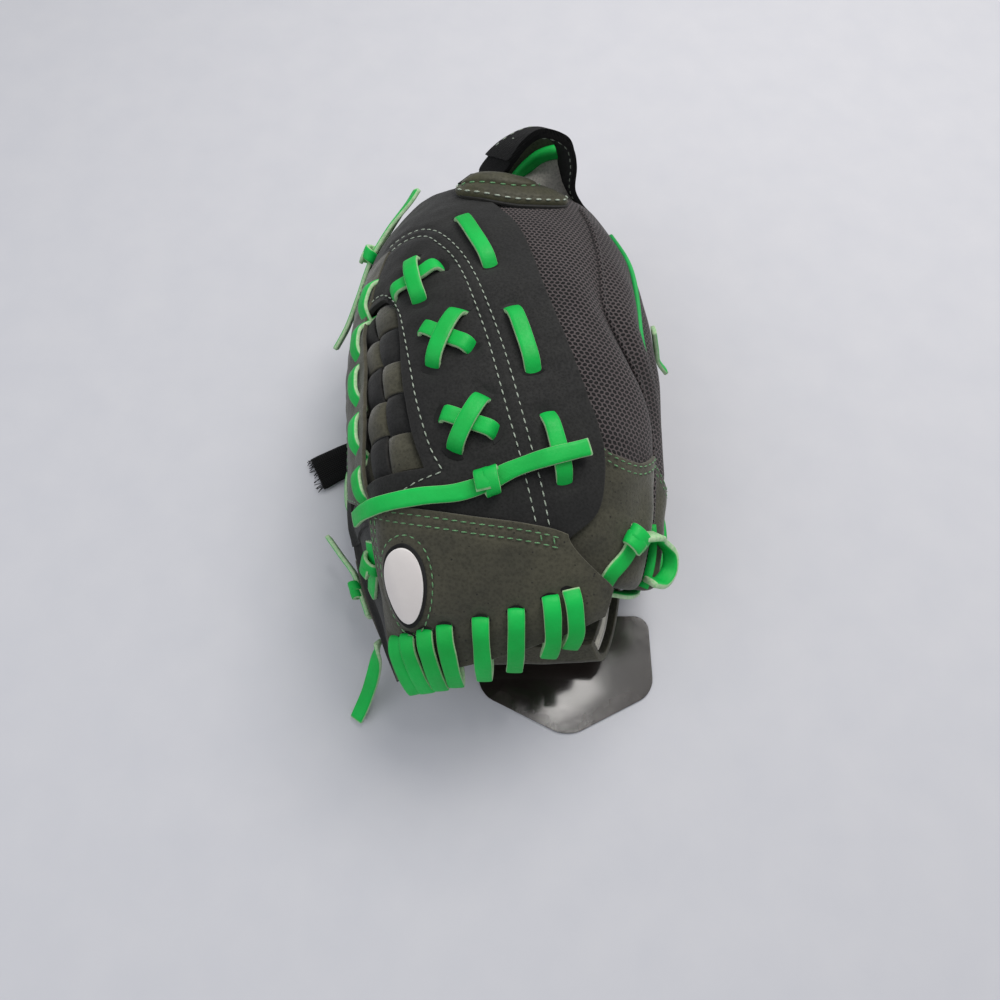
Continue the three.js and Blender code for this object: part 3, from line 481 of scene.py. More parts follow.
def own_size(points: Points, across: int, along: int, flat: Array) -> list[tuple[float, float]]:
    """Places on a sheet that is laid out flat, in millimetres.

    Args:
        points: Gives the sheet's places, as for shell.
        across: Faces across.
        along: Faces along.
        flat: Shares across and along of the sheet's corners.

    Returns:
        For each corner how far it lies from the middle line, and how far along that line.
    """
    s, t = np.meshgrid(np.linspace(0, 1, across + 1), np.linspace(0, 1, along + 1))
    table = points(s.ravel(), t.ravel(), np.zeros(s.size)).reshape(along + 1, across + 1, 3)
    steps = np.linalg.norm(np.diff(table, axis=1), axis=2)
    wide = np.concatenate([np.zeros((along + 1, 1)), np.cumsum(steps, axis=1)], axis=1)
    wide -= wide[:, [across // 2]]
    long = gone_along(table[:, across // 2])
    columns = np.rint(flat[:, 0] * across).astype(int)
    rows = np.rint(flat[:, 1] * along).astype(int)
    return [(wide[r, c], long[r]) for r, c in zip(rows, columns)]


def shell(
    points: Points,
    across: int,
    along: int,
    bevel: float = 0.55,
    window: tuple[float, float, float, float] | None = None,
    cloth: Place | None = None,
) -> bmesh.types.BMesh:
    """A sheet with thickness and rounded rims, shaped from a flat grid.

    Args:
        points: Gives places in millimetres from a share across, a share along and a layer,
            0 above and 1 below.
        across: Faces across.
        along: Faces along.
        bevel: Roundness of the rims, in millimetres.
        window: Shares across and along that are cut out.
        cloth: Places in millimetres on the uncut cloth, or none for the sheet's own size.

    Returns:
        The mesh, with its size in millimetres as UV and its rims marked.
    """
    bm = bmesh.new()
    uv = bm.loops.layers.uv.new("panel")
    rim = bm.verts.layers.float.new("rim")
    bmesh.ops.create_grid(bm, x_segments=across, y_segments=along, size=0.5)
    if window:
        s0, s1, t0, t1 = window
        middles = [(f, f.calc_center_median()) for f in bm.faces]
        gone = [f for f, c in middles if s0 < c.x + 0.5 < s1 and t0 < c.y + 0.5 < t1]
        bmesh.ops.delete(bm, geom=gone, context="FACES")
    for v in bm.verts:
        v[rim] = 1.0 if v.is_boundary else 0.0
    made = bmesh.ops.extrude_face_region(bm, geom=bm.faces[:], use_keep_orig=True)
    lower = {v for v in made["geom"] if isinstance(v, bmesh.types.BMVert)}
    flat = np.array([(v.co.x + 0.5, v.co.y + 0.5, float(v in lower)) for v in bm.verts])
    places = points(flat[:, 0], flat[:, 1], flat[:, 2])
    laid = zip(*cloth(flat[:, 0], flat[:, 1])) if cloth else own_size(points, across, along, flat)
    sizes = dict(zip(bm.verts, laid))
    for face in bm.faces:
        for loop in face.loops:
            loop[uv].uv = sizes[loop.vert]
    for v, p in zip(bm.verts, places):
        v.co = p * MM
    bmesh.ops.recalc_face_normals(bm, faces=bm.faces[:])
    if bevel > 0:
        sharp = [e for e in bm.edges if len(e.link_faces) == 2 and e.calc_face_angle(0.0) > SHARP]
        bmesh.ops.bevel(
            bm,
            geom=sharp,
            offset=bevel * MM,
            offset_type="OFFSET",
            affect="EDGES",
            segments=2,
            profile=0.5,
            material=-1,
            clamp_overlap=True,
        )
    return bm


def sheet(
    place: Place,
    low: Height | float,
    high: Height | float,
    relief: Points | None = None,
) -> Points:
    """Points of a sheet that lies on the form.

    Args:
        place: Angle and place along for shares across and along.
        low: Height of its underside.
        high: Height of its upper side.
        relief: Extra height from points, angles and places along.

    Returns:
        The function that shell takes.
    """
    lower = low if callable(low) else level(low)
    upper = high if callable(high) else level(high)

    def points(s: Array, t: Array, layer: Array) -> Array:
        """Points for shares across, along and the layer."""
        degrees, y = place(s, t)
        height = mix(upper(degrees, y), lower(degrees, y), layer)
        if relief:
            height = height + relief(FORM.at(degrees, y, upper(degrees, y)), degrees, y)
        return FORM.at(degrees, y, height)

    return points


def angle_at(border: Callable[[Array], Array] | float, y: Array) -> Array:
    """A border's angle at places along, from an angle or a function of y."""
    return border(y) if callable(border) else np.full(np.shape(y), float(border))


def panel(from_deg: Callable | float, to_deg: Callable | float, from_y: float, to_y: float) -> Place:
    """A panel between two borders.

    Args:
        from_deg: The first border, an angle or a function of y.
        to_deg: The last border, likewise.
        from_y: Where it starts along the glove.
        to_y: Where it ends.

    Returns:
        Angle and place along for shares across and along.
    """

    def place(s: Array, t: Array) -> Spot:
        """Angle and place along."""
        y = mix(from_y, to_y, t)
        return mix(angle_at(from_deg, y), angle_at(to_deg, y), s), y

    return place


def oval(mid_deg: float, mid_y: float, half_deg: float, half_y: float, tilt: float = 0.0) -> Place:
    """An oval, as a square pulled round.

    Args:
        mid_deg: Angle of its middle.
        mid_y: Place along of its middle.
        half_deg: Half its width in degrees.
        half_y: Half its length.
        tilt: How far it leans.

    Returns:
        Angle and place along for shares across and along.
    """

    def place(s: Array, t: Array) -> Spot:
        """Angle and place along."""
        a, b = 2 * s - 1, 2 * t - 1
        u, v = a * np.sqrt(1 - b * b / 2), b * np.sqrt(1 - a * a / 2)
        return mid_deg + half_deg * (u + tilt * v), mid_y + half_y * v

    return place


def fold_over(
    t: Array, start: Array | float, tip: Array, depth: Array, inner: Array, turn: float
) -> tuple[Array, Array, Array, Array]:
    """The end of a stall: along the back, round the tip and down to the palm.

    Args:
        t: Shares of the way.
        start: Where it starts along the glove.
        tip: Where it ends.
        depth: Depth of the half there.
        inner: How far it lies inside the form.
        turn: Share where it starts to go round.

    Returns:
        Places along, heights, and the shares of the way round and down.
    """
    radius, bent = 6.0, 0.2
    along, round_ = clamp01(t / turn), clamp01((t - turn) / bent)
    down = clamp01((t - turn - bent) / (1 - bent - turn))
    bend = round_ * math.pi / 2
    y = mix(start, tip + radius, along) - radius * np.sin(bend)
    return y, -inner - radius * (1 - np.cos(bend)) + down * (-depth + radius + inner), round_, down


def standing(
    at: Callable[[Array], Array] | float,
    span: tuple[float, float],
    depth: Callable[[Array], Array],
    top: float = WALL_TOP,
) -> Points:
    """Points of a wall that stands on the palm, between two stalls or beside one.

    Args:
        at: Its angle, or a function of y.
        span: Where it starts and ends along the glove.
        depth: Depth of the half that it stands in.
        top: Height of its upper edge.

    Returns:
        The function that shell takes.
    """

    def points(s: Array, t: Array, layer: Array) -> Array:
        """Points for shares up, along and the layer."""
        y = mix(*span, t)
        floor = -depth(y) + LAYERS.palm_stack + WALL_GAP
        return FORM.at(angle_at(at, y) + WALL_DEG * (0.5 - layer), y, mix(floor, top, s))

    return points


class Section(Enum):
    """Outlines that a cord or a lace can have."""

    FLAT = "flat"
    ROUND = "round"


@dataclass
class Ribbon:
    """A flat lace or a round cord along a path of stops, in millimetres."""

    stops: Sequence[Stop]
    wide: float = LAYERS.lace_wide
    thick: float = LAYERS.lace_thick
    section: Section = Section.FLAT
    spacing: float = 1.1

    def outline(self) -> list[tuple[float, float, float]]:
        """Points round the section: across, up, and how pale the cut leather is there."""
        if self.section is Section.ROUND:
            turns = [2 * math.pi * i / ROUND_SIDES for i in range(ROUND_SIDES)]
            return [(0.5 * math.cos(a), 0.5 * math.sin(a), 0.0) for a in turns]
        top = [(0.45, 0.47, 0.12), (0.27, 0.53, 0), (0, 0.55, 0), (-0.27, 0.53, 0), (-0.45, 0.47, 0.12)]
        side = [(-0.5, 0.27, 0.75), (-0.5, -0.3, 1.0)]
        under = [(-0.44, -0.5, 0.8), (0, -0.5, 0.7), (0.44, -0.5, 0.8)]
        return [*top, *side, *under, (0.5, -0.3, 1.0), (0.5, 0.27, 0.75)]

    def rows(self) -> tuple[Array, Array, Array]:
        """The path's points, and the directions across and up at each."""
        points = np.array([s[0] for s in self.stops], float)
        sides = np.array([s[1] for s in self.stops], float)
        both = catmull(np.hstack([points, sides * 1e-3]), self.spacing, spacing=True)
        path, across = both[:, :3], both[:, 3:]
        ahead = unit(np.gradient(path, axis=0))
        across = unit(across - ahead * (across * ahead).sum(-1, keepdims=True))
        return path, across, unit(np.cross(across, ahead))

    def path(self) -> list[list[float]]:
        """The path in metres."""
        return (self.rows()[0] * MM).tolist()

    def length(self) -> float:
        """The path's length in metres."""
        return float(np.linalg.norm(np.diff(self.rows()[0], axis=0), axis=1).sum() * MM)

    def build(self, bm: bmesh.types.BMesh | None = None) -> bmesh.types.BMesh:
        """The lace's mesh.

        Args:
            bm: Mesh to add it to, or none for a new one.

        Returns:
            The mesh, with pale cut leather marked and lengths in millimetres as UV.
        """
        bm = bm or bmesh.new()
        uv = bm.loops.layers.uv.get("panel") or bm.loops.layers.uv.new("panel")
        pale = bm.verts.layers.float.get("pale") or bm.verts.layers.float.new("pale")
        path, across, up = self.rows()
        outline = self.outline()
        count, last = len(outline), len(path) - 1
        made = bmesh.ops.create_grid(bm, x_segments=count, y_segments=last, size=0.5)["verts"]
        gone = gone_along(path)
        uneven = 1 + 0.035 * ripple(path, 14, int(gone[-1] * 10))
        sizes = {}
        for v in made:
            column, row = round((v.co.x + 0.5) * count), round((v.co.y + 0.5) * last)
            u, w, light = outline[column % count]
            p = path[row] + across[row] * (u * self.wide * uneven[row]) + up[row] * (w * self.thick)
            v.co = p * MM
            v[pale] = max(light, 0.9 if row in (0, last) and self.section is Section.FLAT else 0)
            sizes[v] = (column / count * 2 * (self.wide + self.thick), gone[row])
        faces = {f for v in made for f in v.link_faces}
        for face in faces:
            for loop in face.loops:
                loop[uv].uv = sizes[loop.vert]
        bmesh.ops.remove_doubles(bm, verts=made, dist=1e-6)
        open_edges = [e for e in bm.edges if e.is_boundary]
        bmesh.ops.holes_fill(bm, edges=open_edges, sides=0)
        bmesh.ops.recalc_face_normals(bm, faces=bm.faces[:])
        return bm


def knot_stops(middle: Array, ahead: Array, up: Array, wide: float, tall: float) -> list[Stop]:
    """A lace wrapped round another, as the band of a knot.

    Args:
        middle: The knot's middle in millimetres.
        ahead: Direction of the lace that is wrapped.
        up: Direction out of the glove.
        wide: Half its width across the lace.
        tall: Half its height.

    Returns:
        The stops of the wrapped lace.
    """
    turns, per_turn, start = 1.55, 10, 1.0
    spread, slack, slant = 5.4, 0.06, 0.35
    across = np.cross(ahead, up)
    stops = []
    for i in range(int(turns * per_turn) + 1):
        a = 2 * math.pi * i / per_turn - start
        shift = ahead * (spread * (i / (turns * per_turn) - 0.5))
        spoke = across * (wide * math.cos(a)) + up * (tall * math.sin(a))
        side = unit(ahead + slant * across * math.sin(a))
        stops.append((middle + shift + spoke * (1 + slack * i / per_turn), side))
    return stops


class Nodes:
    """A node tree while it is being wired up."""

    def __init__(self, tree: bpy.types.NodeTree) -> None:
        """Takes the tree to work on."""
        self.tree = tree

    def add(self, kind: str, inputs: dict | None = None, **settings: object) -> bpy.types.Node:
        """Adds a node.

        Args:
            kind: Its type, without the ShaderNode in front.
            inputs: Values or output sockets for its inputs, by name or number.
            settings: Its own properties.

        Returns:
            The node.
        """
        node = self.tree.nodes.new(kind if kind.startswith("Node") else "ShaderNode" + kind)
        for name, value in settings.items():
            setattr(node, name, value)
        for name, value in (inputs or {}).items():
            self.feed(node.inputs[name], value)
        return node

    def feed(self, socket: bpy.types.NodeSocket, value: object) -> None:
        """Links an output to the socket, or sets the socket's value."""
        if isinstance(value, bpy.types.NodeSocket):
            self.tree.links.new(value, socket)
        else:
            socket.default_value = value

    def math(self, operation: str, *values: object) -> bpy.types.NodeSocket:
        """A sum of up to three values."""
        return self.add("Math", dict(enumerate(values)), operation=operation).outputs[0]

    def blend(self, share: object, a: object, b: object, how: str = "MIX") -> bpy.types.NodeSocket:
        """A colour made from two colours.

        Args:
            share: How much of the second.
            a: The first colour.
            b: The second colour.
            how: How they are put together.

        Returns:
            The socket of the new colour.
        """
        return self.add("Mix", {0: share, 6: a, 7: b}, data_type="RGBA", blend_type=how).outputs[2]

    def ramp(
        self, value: object, low: float, high: float, to: tuple[float, float] = (0, 1)
    ) -> bpy.types.NodeSocket:
        """A value stretched from one range to another, softly.

        Args:
            value: The value, or the socket that gives it.
            low: Start of its range.
            high: End of its range.
            to: The range that it is stretched to.

        Returns:
            The socket of the new value.
        """
        inputs = {0: value, 1: low, 2: high, 3: to[0], 4: to[1]}
        return self.add("MapRange", inputs, interpolation_type="SMOOTHSTEP").outputs[0]


class Effects:
    """Shader node groups that several finishes share."""

    def __init__(self) -> None:
        """Builds each group once."""
        self.grain = self.make_grain()
        self.flecks = self.make_flecks()
        self.wear = self.make_wear()

    @staticmethod
    def start(name: str, inputs: dict[str, float | None], outputs: Sequence[str]) -> tuple[Nodes, dict, dict]:
        """A new group with its sockets.

        Args:
            name: The group's name.
            inputs: Names and usual values, none for a vector.
            outputs: Names of the values that it gives.

        Returns:
            Its nodes, the sockets to read and the sockets to fill.
        """
        tree = bpy.data.node_groups.new(name, "ShaderNodeTree")
        for label, usual in inputs.items():
            kind = "NodeSocketVector" if usual is None else "NodeSocketFloat"
            socket = tree.interface.new_socket(label, in_out="INPUT", socket_type=kind)
            if usual is not None:
                socket.default_value = usual
        for label in outputs:
            tree.interface.new_socket(label, in_out="OUTPUT", socket_type="NodeSocketFloat")
        nodes = Nodes(tree)
        entry, end = nodes.add("NodeGroupInput"), nodes.add("NodeGroupOutput")
        return nodes, {s.name: s for s in entry.outputs if s.name}, {s.name: s for s in end.inputs if s.name}

    def make_grain(self) -> bpy.types.NodeTree:
        """Fine cells and nap of leather, with a broad uneven tone."""
        n, given, out = self.start("leather_grain", {"Vector": None, "Scale": 900.0}, ("Height", "Tone"))
        cells = n.add("TexVoronoi", {"Vector": given["Vector"], "Scale": given["Scale"]}, feature="SMOOTH_F1")
        fine = n.math("MULTIPLY", given["Scale"], 2.3)
        nap = n.add("TexNoise", {"Vector": given["Vector"], "Scale": fine, "Detail": 4.0, "Roughness": 0.65})
        half = n.math("MULTIPLY", cells.outputs["Distance"], 0.55)
        n.feed(out["Height"], n.math("MULTIPLY_ADD", nap.outputs[0], 0.6, half))
        broad = n.math("MULTIPLY", given["Scale"], 0.045)
        looks = {"Scale": broad, "Detail": 5.0, "Roughness": 0.6}
        cloud = n.add("TexNoise", {"Vector": given["Vector"], **looks})
        n.feed(out["Tone"], n.ramp(cloud.outputs[0], 0.3, 0.7))
        return n.tree

    def make_flecks(self) -> bpy.types.NodeTree:
        """Scattered dark pores, each with its own size."""
        n, given, out = self.start("pore_flecks", {"Vector": None, "Scale": 420.0, "Amount": 0.5}, ("Mask",))
        cells = n.add("TexVoronoi", {"Vector": given["Vector"], "Scale": given["Scale"], "Randomness": 1.0})
        chance = n.add("SeparateColor", {0: cells.outputs["Color"]}).outputs[0]
        shown = n.math("LESS_THAN", chance, given["Amount"])
        reach = n.math("MULTIPLY_ADD", chance, 0.25, 0.16)
        near = n.math("SUBTRACT", 1.0, n.math("DIVIDE", cells.outputs["Distance"], reach))
        n.feed(out["Mask"], n.math("MULTIPLY", n.ramp(near, 0.0, 0.6), shown))
        return n.tree

    def make_wear(self) -> bpy.types.NodeTree:
        """Rubbed rims: strongest at an edge, broken up along it."""
        n, given, out = self.start("rim_wear", {"Vector": None, "Rim": 0.0, "Amount": 0.5}, ("Mask",))
        patches = n.add("TexNoise", {"Vector": given["Vector"], "Scale": 160.0, "Detail": 3.0})
        broken = n.ramp(patches.outputs[0], 0.35, 0.75)
        strong = n.math("MULTIPLY", n.ramp(given["Rim"], 0.2, 1.0), given["Amount"])
        n.feed(out["Mask"], n.math("MULTIPLY", strong, n.math("MULTIPLY_ADD", broken, 0.7, 0.3)))
        return n.tree


class Finish:
    """A material while it is being made."""

    def __init__(self, name: str, roughness: float, **sockets: object) -> None:
        """Starts a material with one Principled shader.

        Args:
            name: The material's name.
            roughness: Its usual roughness.
            sockets: Other constant values of the shader, by socket name with _ for spaces.
        """
        self.material = bpy.data.materials.new(name)
        self.material.use_nodes = True
        self.nodes = Nodes(self.material.node_tree)
        self.shader = self.material.node_tree.nodes["Principled BSDF"]
        self.shader.inputs["Roughness"].default_value = roughness
        for label, value in sockets.items():
            self.shader.inputs[label.replace("_", " ")].default_value = value
        self.vector = self.nodes.add("TexCoord").outputs["Object"]

    def group(self, tree: bpy.types.NodeTree, **inputs: object) -> bpy.types.Node:
        """Places a shared group."""
        return self.nodes.add("Group", {"Vector": self.vector, **inputs}, node_tree=tree)

    def attribute(self, name: str) -> bpy.types.NodeSocket:
        """A value that the mesh carries."""
        return self.nodes.add("Attribute", attribute_name=name).outputs["Fac"]

    def colour(self, value: object) -> None:
        """Feeds the base colour."""
        self.nodes.feed(self.shader.inputs["Base Color"], value)

    def rough(self, value: object) -> None:
        """Feeds the roughness."""
        self.nodes.feed(self.shader.inputs["Roughness"], value)

    def bump(self, height: object, distance: float, strength: float = 1.0) -> None:
        """Feeds the normal from a height.

        Args:
            height: The height's socket.
            distance: Its depth in metres.
            strength: How strongly it shows.
        """
        inputs = {"Height": height, "Distance": distance, "Strength": strength}
        node = self.nodes.add("Bump", inputs)
        self.nodes.feed(self.shader.inputs["Normal"], node.outputs[0])


@dataclass(frozen=True)
class LeatherFinish:
    """Leather, suede, felt or lining: grain, uneven tone, pores and rubbed rims."""

    name: str
    color: Color
    shade: Color
    rubbed: Color
    roughness: float = 0.75
    grain: float = 900.0
    depth: float = 0.00022
    pores: float = 0.0
    sheen: float = 0.1

    def make(self, effects: Effects) -> bpy.types.Material:
        """The material."""
        f = Finish(self.name, self.roughness, Sheen_Weight=self.sheen, Specular_IOR_Level=0.35)
        grain = f.group(effects.grain, Scale=self.grain)
        tone = f.nodes.blend(grain.outputs["Tone"], self.shade, self.color)
        fine = f.nodes.ramp(grain.outputs["Height"], 0.25, 0.7, (0.72, 1.1))
        base = f.nodes.blend(1.0, tone, fine, "MULTIPLY")
        if self.pores > 0:
            pores = f.group(effects.flecks, Scale=430.0, Amount=self.pores)
            dark = tuple(0.22 * c for c in self.shade[:3]) + (1.0,)
            base = f.nodes.blend(pores.outputs["Mask"], base, dark)
        wear = f.group(effects.wear, Rim=f.attribute("rim"), Amount=0.6)
        f.colour(f.nodes.blend(wear.outputs["Mask"], base, self.rubbed))
        span = (self.roughness + 0.1, self.roughness - 0.08)
        f.rough(f.nodes.ramp(grain.outputs["Height"], 0.2, 0.8, span))
        f.bump(grain.outputs["Height"], self.depth)
        return f.material


@dataclass(frozen=True)
class LaceFinish:
    """Dyed lace: bright face, pale cut edges and underside."""

    name: str
    color: Color
    shade: Color
    cut: Color

    def make(self, effects: Effects) -> bpy.types.Material:
        """The material."""
        f = Finish(self.name, 0.5, Specular_IOR_Level=0.28)
        grain = f.group(effects.grain, Scale=750.0)
        face = f.nodes.blend(grain.outputs["Tone"], self.shade, self.color)
        pale = f.nodes.ramp(f.attribute("pale"), 0.25, 0.95)
        raw = f.nodes.ramp(grain.outputs["Height"], 0.25, 0.7, (0.55, 1.0))
        f.colour(f.nodes.blend(f.nodes.math("MULTIPLY", pale, raw), face, self.cut))
        f.rough(f.nodes.ramp(grain.outputs["Height"], 0.2, 0.8, (0.62, 0.45)))
        f.bump(grain.outputs["Height"], 0.00012)
        return f.material


@dataclass(frozen=True)
class MeshFinish:
    """Sports mesh: offset rows of slanted holes between wavy threads."""

    name: str
    color: Color
    thread: Color
    hole: Color
    pitch: tuple[float, float] = (2.25, 1.8)
    narrow: tuple[float, float] = (2.4, 2.1)
    square: float = 2.4
    slant: float = 0.25

    def make(self, effects: Effects) -> bpy.types.Material:
        """The material."""
        f = Finish(self.name, 0.8, Specular_IOR_Level=0.25, Sheen_Weight=0.15)
        n = f.nodes
        uv = n.add("SeparateXYZ", {0: n.add("UVMap", uv_map="panel").outputs[0]})
        across = n.math("DIVIDE", uv.outputs[0], self.pitch[0])
        along = n.math("DIVIDE", uv.outputs[1], self.pitch[1])
        row = n.math("FLOOR", along)
        odd = n.math("FLOORED_MODULO", row, 2.0)
        v = n.math("SUBTRACT", n.math("FRACT", along), 0.5)
        lean = n.math("MULTIPLY", v, n.math("MULTIPLY_ADD", odd, -2 * self.slant, self.slant))
        shifted = n.math("ADD", n.math("MULTIPLY_ADD", odd, 0.5, across), lean)
        u = n.math("SUBTRACT", n.math("FRACT", shifted), 0.5)
        rounds = []
        for part, narrow in zip((u, v), self.narrow):
            size = n.math("MULTIPLY", n.math("ABSOLUTE", part), narrow)
            rounds.append(n.math("POWER", size, self.square))
        open_ = n.ramp(n.math("ADD", *rounds), 0.95, 0.6)
        knit = n.add("TexWave", {"Vector": f.vector, "Scale": 620.0, "Distortion": 3.0, "Detail": 2.0})
        yarn = n.ramp(knit.outputs["Fac"], 0.2, 0.8, (0.75, 1.12))
        grain = f.group(effects.grain, Scale=700.0)
        tone = n.blend(grain.outputs["Tone"], self.color, self.thread)
        lit = n.blend(1.0, tone, yarn, "MULTIPLY")
        f.colour(n.blend(open_, lit, self.hole))
        deep = n.math("MULTIPLY_ADD", open_, -1.0, n.math("MULTIPLY", yarn, 0.25))
        f.bump(deep, 0.0009)
        f.rough(n.ramp(open_, 0.0, 1.0, (0.72, 0.95)))
        return f.material


@dataclass(frozen=True)
class WebbingFinish:
    """Woven tape: ribs across it, a finer thread along them."""

    name: str
    color: Color
    shade: Color

    def make(self, effects: Effects) -> bpy.types.Material:
        """The material."""
        f = Finish(self.name, 0.86, Specular_IOR_Level=0.14, Sheen_Weight=0.04)
        n = f.nodes
        uv = n.add("UVMap", uv_map="panel").outputs[0]
        ribs = n.add("TexWave", {"Vector": uv, "Scale": 0.42, "Distortion": 0.6}, bands_direction="X")
        threads = n.add("TexWave", {"Vector": uv, "Scale": 0.3, "Distortion": 0.8}, bands_direction="Y")
        fine = n.math("MULTIPLY_ADD", threads.outputs["Fac"], 0.6, 0.4)
        weave = n.math("MULTIPLY", ribs.outputs["Fac"], fine)
        grain = f.group(effects.grain, Scale=1000.0)
        level_ = n.math("MULTIPLY_ADD", grain.outputs["Height"], 0.4, weave)
        f.colour(n.blend(n.ramp(level_, 0.2, 1.2), self.shade, self.color))
        f.rough(n.ramp(level_, 0.2, 1.2, (0.92, 0.74)))
        f.bump(level_, 0.0004)
        return f.material


@dataclass(frozen=True)
class ThreadFinish:
    """Sewing thread, twisted."""

    name: str
    color: Color
    shade: Color

    def make(self, effects: Effects) -> bpy.types.Material:
        """The material."""
        f = Finish(self.name, 0.6, Sheen_Weight=0.2)
        twist = f.nodes.add("TexNoise", {"Vector": f.vector, "Scale": 1500.0, "Detail": 2.0})
        share = f.nodes.ramp(twist.outputs[0], 0.35, 0.65)
        f.colour(f.nodes.blend(share, self.shade, self.color))
        f.rough(f.nodes.ramp(share, 0.0, 1.0, (0.7, 0.5)))
        f.bump(share, 0.0001)
        return f.material


@dataclass(frozen=True)
class SmoothFinish:
    """Printed card or moulded badge: even colour with faint clouds and fine scratches."""

    name: str
    color: Color
    shade: Color
    roughness: float
    coat: float = 0.0

    def make(self, effects: Effects) -> bpy.types.Material:
        """The material."""
        f = Finish(self.name, self.roughness, Coat_Weight=self.coat, Coat_Roughness=0.08)
        grain = f.group(effects.grain, Scale=500.0)
        wear = f.group(effects.wear, Rim=f.attribute("rim"), Amount=0.5)
        clouds = f.nodes.blend(grain.outputs["Tone"], self.shade, self.color)
        edge = tuple(min(1.0, 2.2 * c + 0.02) for c in self.color[:3]) + (1.0,)
        f.colour(f.nodes.blend(wear.outputs["Mask"], clouds, edge))
        low, high = self.roughness * 0.8, self.roughness * 1.25
        f.rough(f.nodes.ramp(grain.outputs["Tone"], 0.0, 1.0, (low, high)))
        waves = f.nodes.add("TexNoise", {"Vector": f.vector, "Scale": 60.0, "Detail": 3.0})
        f.bump(waves.outputs[0], 0.0004, 0.5)
        return f.material


class Wardrobe:
    """Every finish of the glove, made once."""

    def __init__(self) -> None:
        """Makes the shared groups and the materials."""
        effects = Effects()
        rubbed_black, rubbed_suede = srgb(47, 45, 42), srgb(90, 86, 70)
        kinds = {
            Stuff.BLACK_LEATHER: LeatherFinish(
                "black_leather", srgb(26, 26, 25), srgb(18, 18, 18), rubbed_black, 0.8, 1000, 0.00016
            ),
            Stuff.GREY_SUEDE: LeatherFinish(
                "grey_suede", srgb(70, 68, 54), srgb(52, 51, 41), rubbed_suede, 0.86, 800, 0.00022, 0.33, 0.25
            ),
            Stuff.OLIVE_LEATHER: LeatherFinish(
                "olive_leather", srgb(64, 63, 43), srgb(48, 47, 32), srgb(84, 82, 58), 0.6, 700, 0.0002, 0.08
            ),
            Stuff.FELT: LeatherFinish(
                "felt_pad", srgb(205, 200, 186), srgb(180, 175, 160), srgb(215, 210, 200), 0.95, 500, 0.0005
            ),
            Stuff.LINING: LeatherFinish(
                "lining", srgb(196, 192, 184), srgb(172, 168, 160), srgb(206, 202, 196), 0.85, 900, 0.00015
            ),
            Stuff.LACE: LaceFinish("green_lace", srgb(11, 188, 78), srgb(7, 166, 64), srgb(186, 212, 172)),
            Stuff.PIPING: LaceFinish(
                "green_piping", srgb(34, 178, 86), srgb(24, 150, 70), srgb(120, 190, 140)
            ),
            Stuff.MESH: MeshFinish("mesh_fabric", srgb(90, 80, 81), srgb(76, 67, 68), srgb(8, 7, 8)),
            Stuff.WEBBING: WebbingFinish("webbing", srgb(14, 14, 14), srgb(4, 4, 4)),
            Stuff.BADGE: SmoothFinish("badge_face", srgb(228, 222, 218), srgb(216, 209, 206), 0.45),
            Stuff.CARD: SmoothFinish("tag_card", srgb(40, 34, 31), srgb(30, 26, 24), 0.2, 0.5),
            Stuff.PALE_THREAD: ThreadFinish("pale_thread", srgb(172, 182, 168), srgb(136, 148, 132)),
            Stuff.GREEN_THREAD: ThreadFinish("green_thread", srgb(104, 158, 106), srgb(74, 122, 78)),
            Stuff.SLIT: SmoothFinish("slit_shadow", srgb(9, 9, 9), srgb(5, 5, 5), 0.9),
        }
        self.materials = {stuff: finish.make(effects) for stuff, finish in kinds.items()}


@dataclass
class Bench:
    """Where finished meshes become pieces that ride on the frame."""

    wardrobe: Wardrobe

    def piece(
        self,
        bm: bmesh.types.BMesh,
        name: str,
        stuff: Stuff,
        body: Body | None,
        nodes: Sequence[str] = (),
        smooth_shaded: bool = True,
    ) -> bpy.types.Object:
        """Makes a piece from a mesh.

        Args:
            bm: The mesh, which is used up.
            name: The piece's name.
            stuff: Its finish.
            body: The body that it rides on, or none for a piece that lies between two.
            nodes: The frame's nodes that it stands for.
            smooth_shaded: Whether its faces blend into each other.

        Returns:
            The piece's object.
        """
        data = bpy.data.meshes.new(name)
        bm.to_mesh(data)
        bm.free()
        data.polygons.foreach_set("use_smooth", [smooth_shaded] * len(data.polygons))
        data.materials.append(self.wardrobe.materials[stuff])
        piece = bpy.data.objects.new(name, data)
        bpy.context.scene.collection.objects.link(piece)
        if body:
            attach(piece, body.value)
        if nodes:
            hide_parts(*nodes)
        log.info("%s: %d faces, %s", name, len(data.polygons), stuff.value)
        return piece

    def sew(self, name: str, stuff: Stuff, body: Body, seams: Sequence[Seam]) -> None:
        """Makes one piece from rows of stitches.

        Args:
            name: The piece's name.
            stuff: The thread.
            body: The body that it rides on.
            seams: The rows.
        """
        bm = bmesh.new()
        for seam in seams:
            seam.sew(bm)
        self.piece(bm, name, stuff, body)


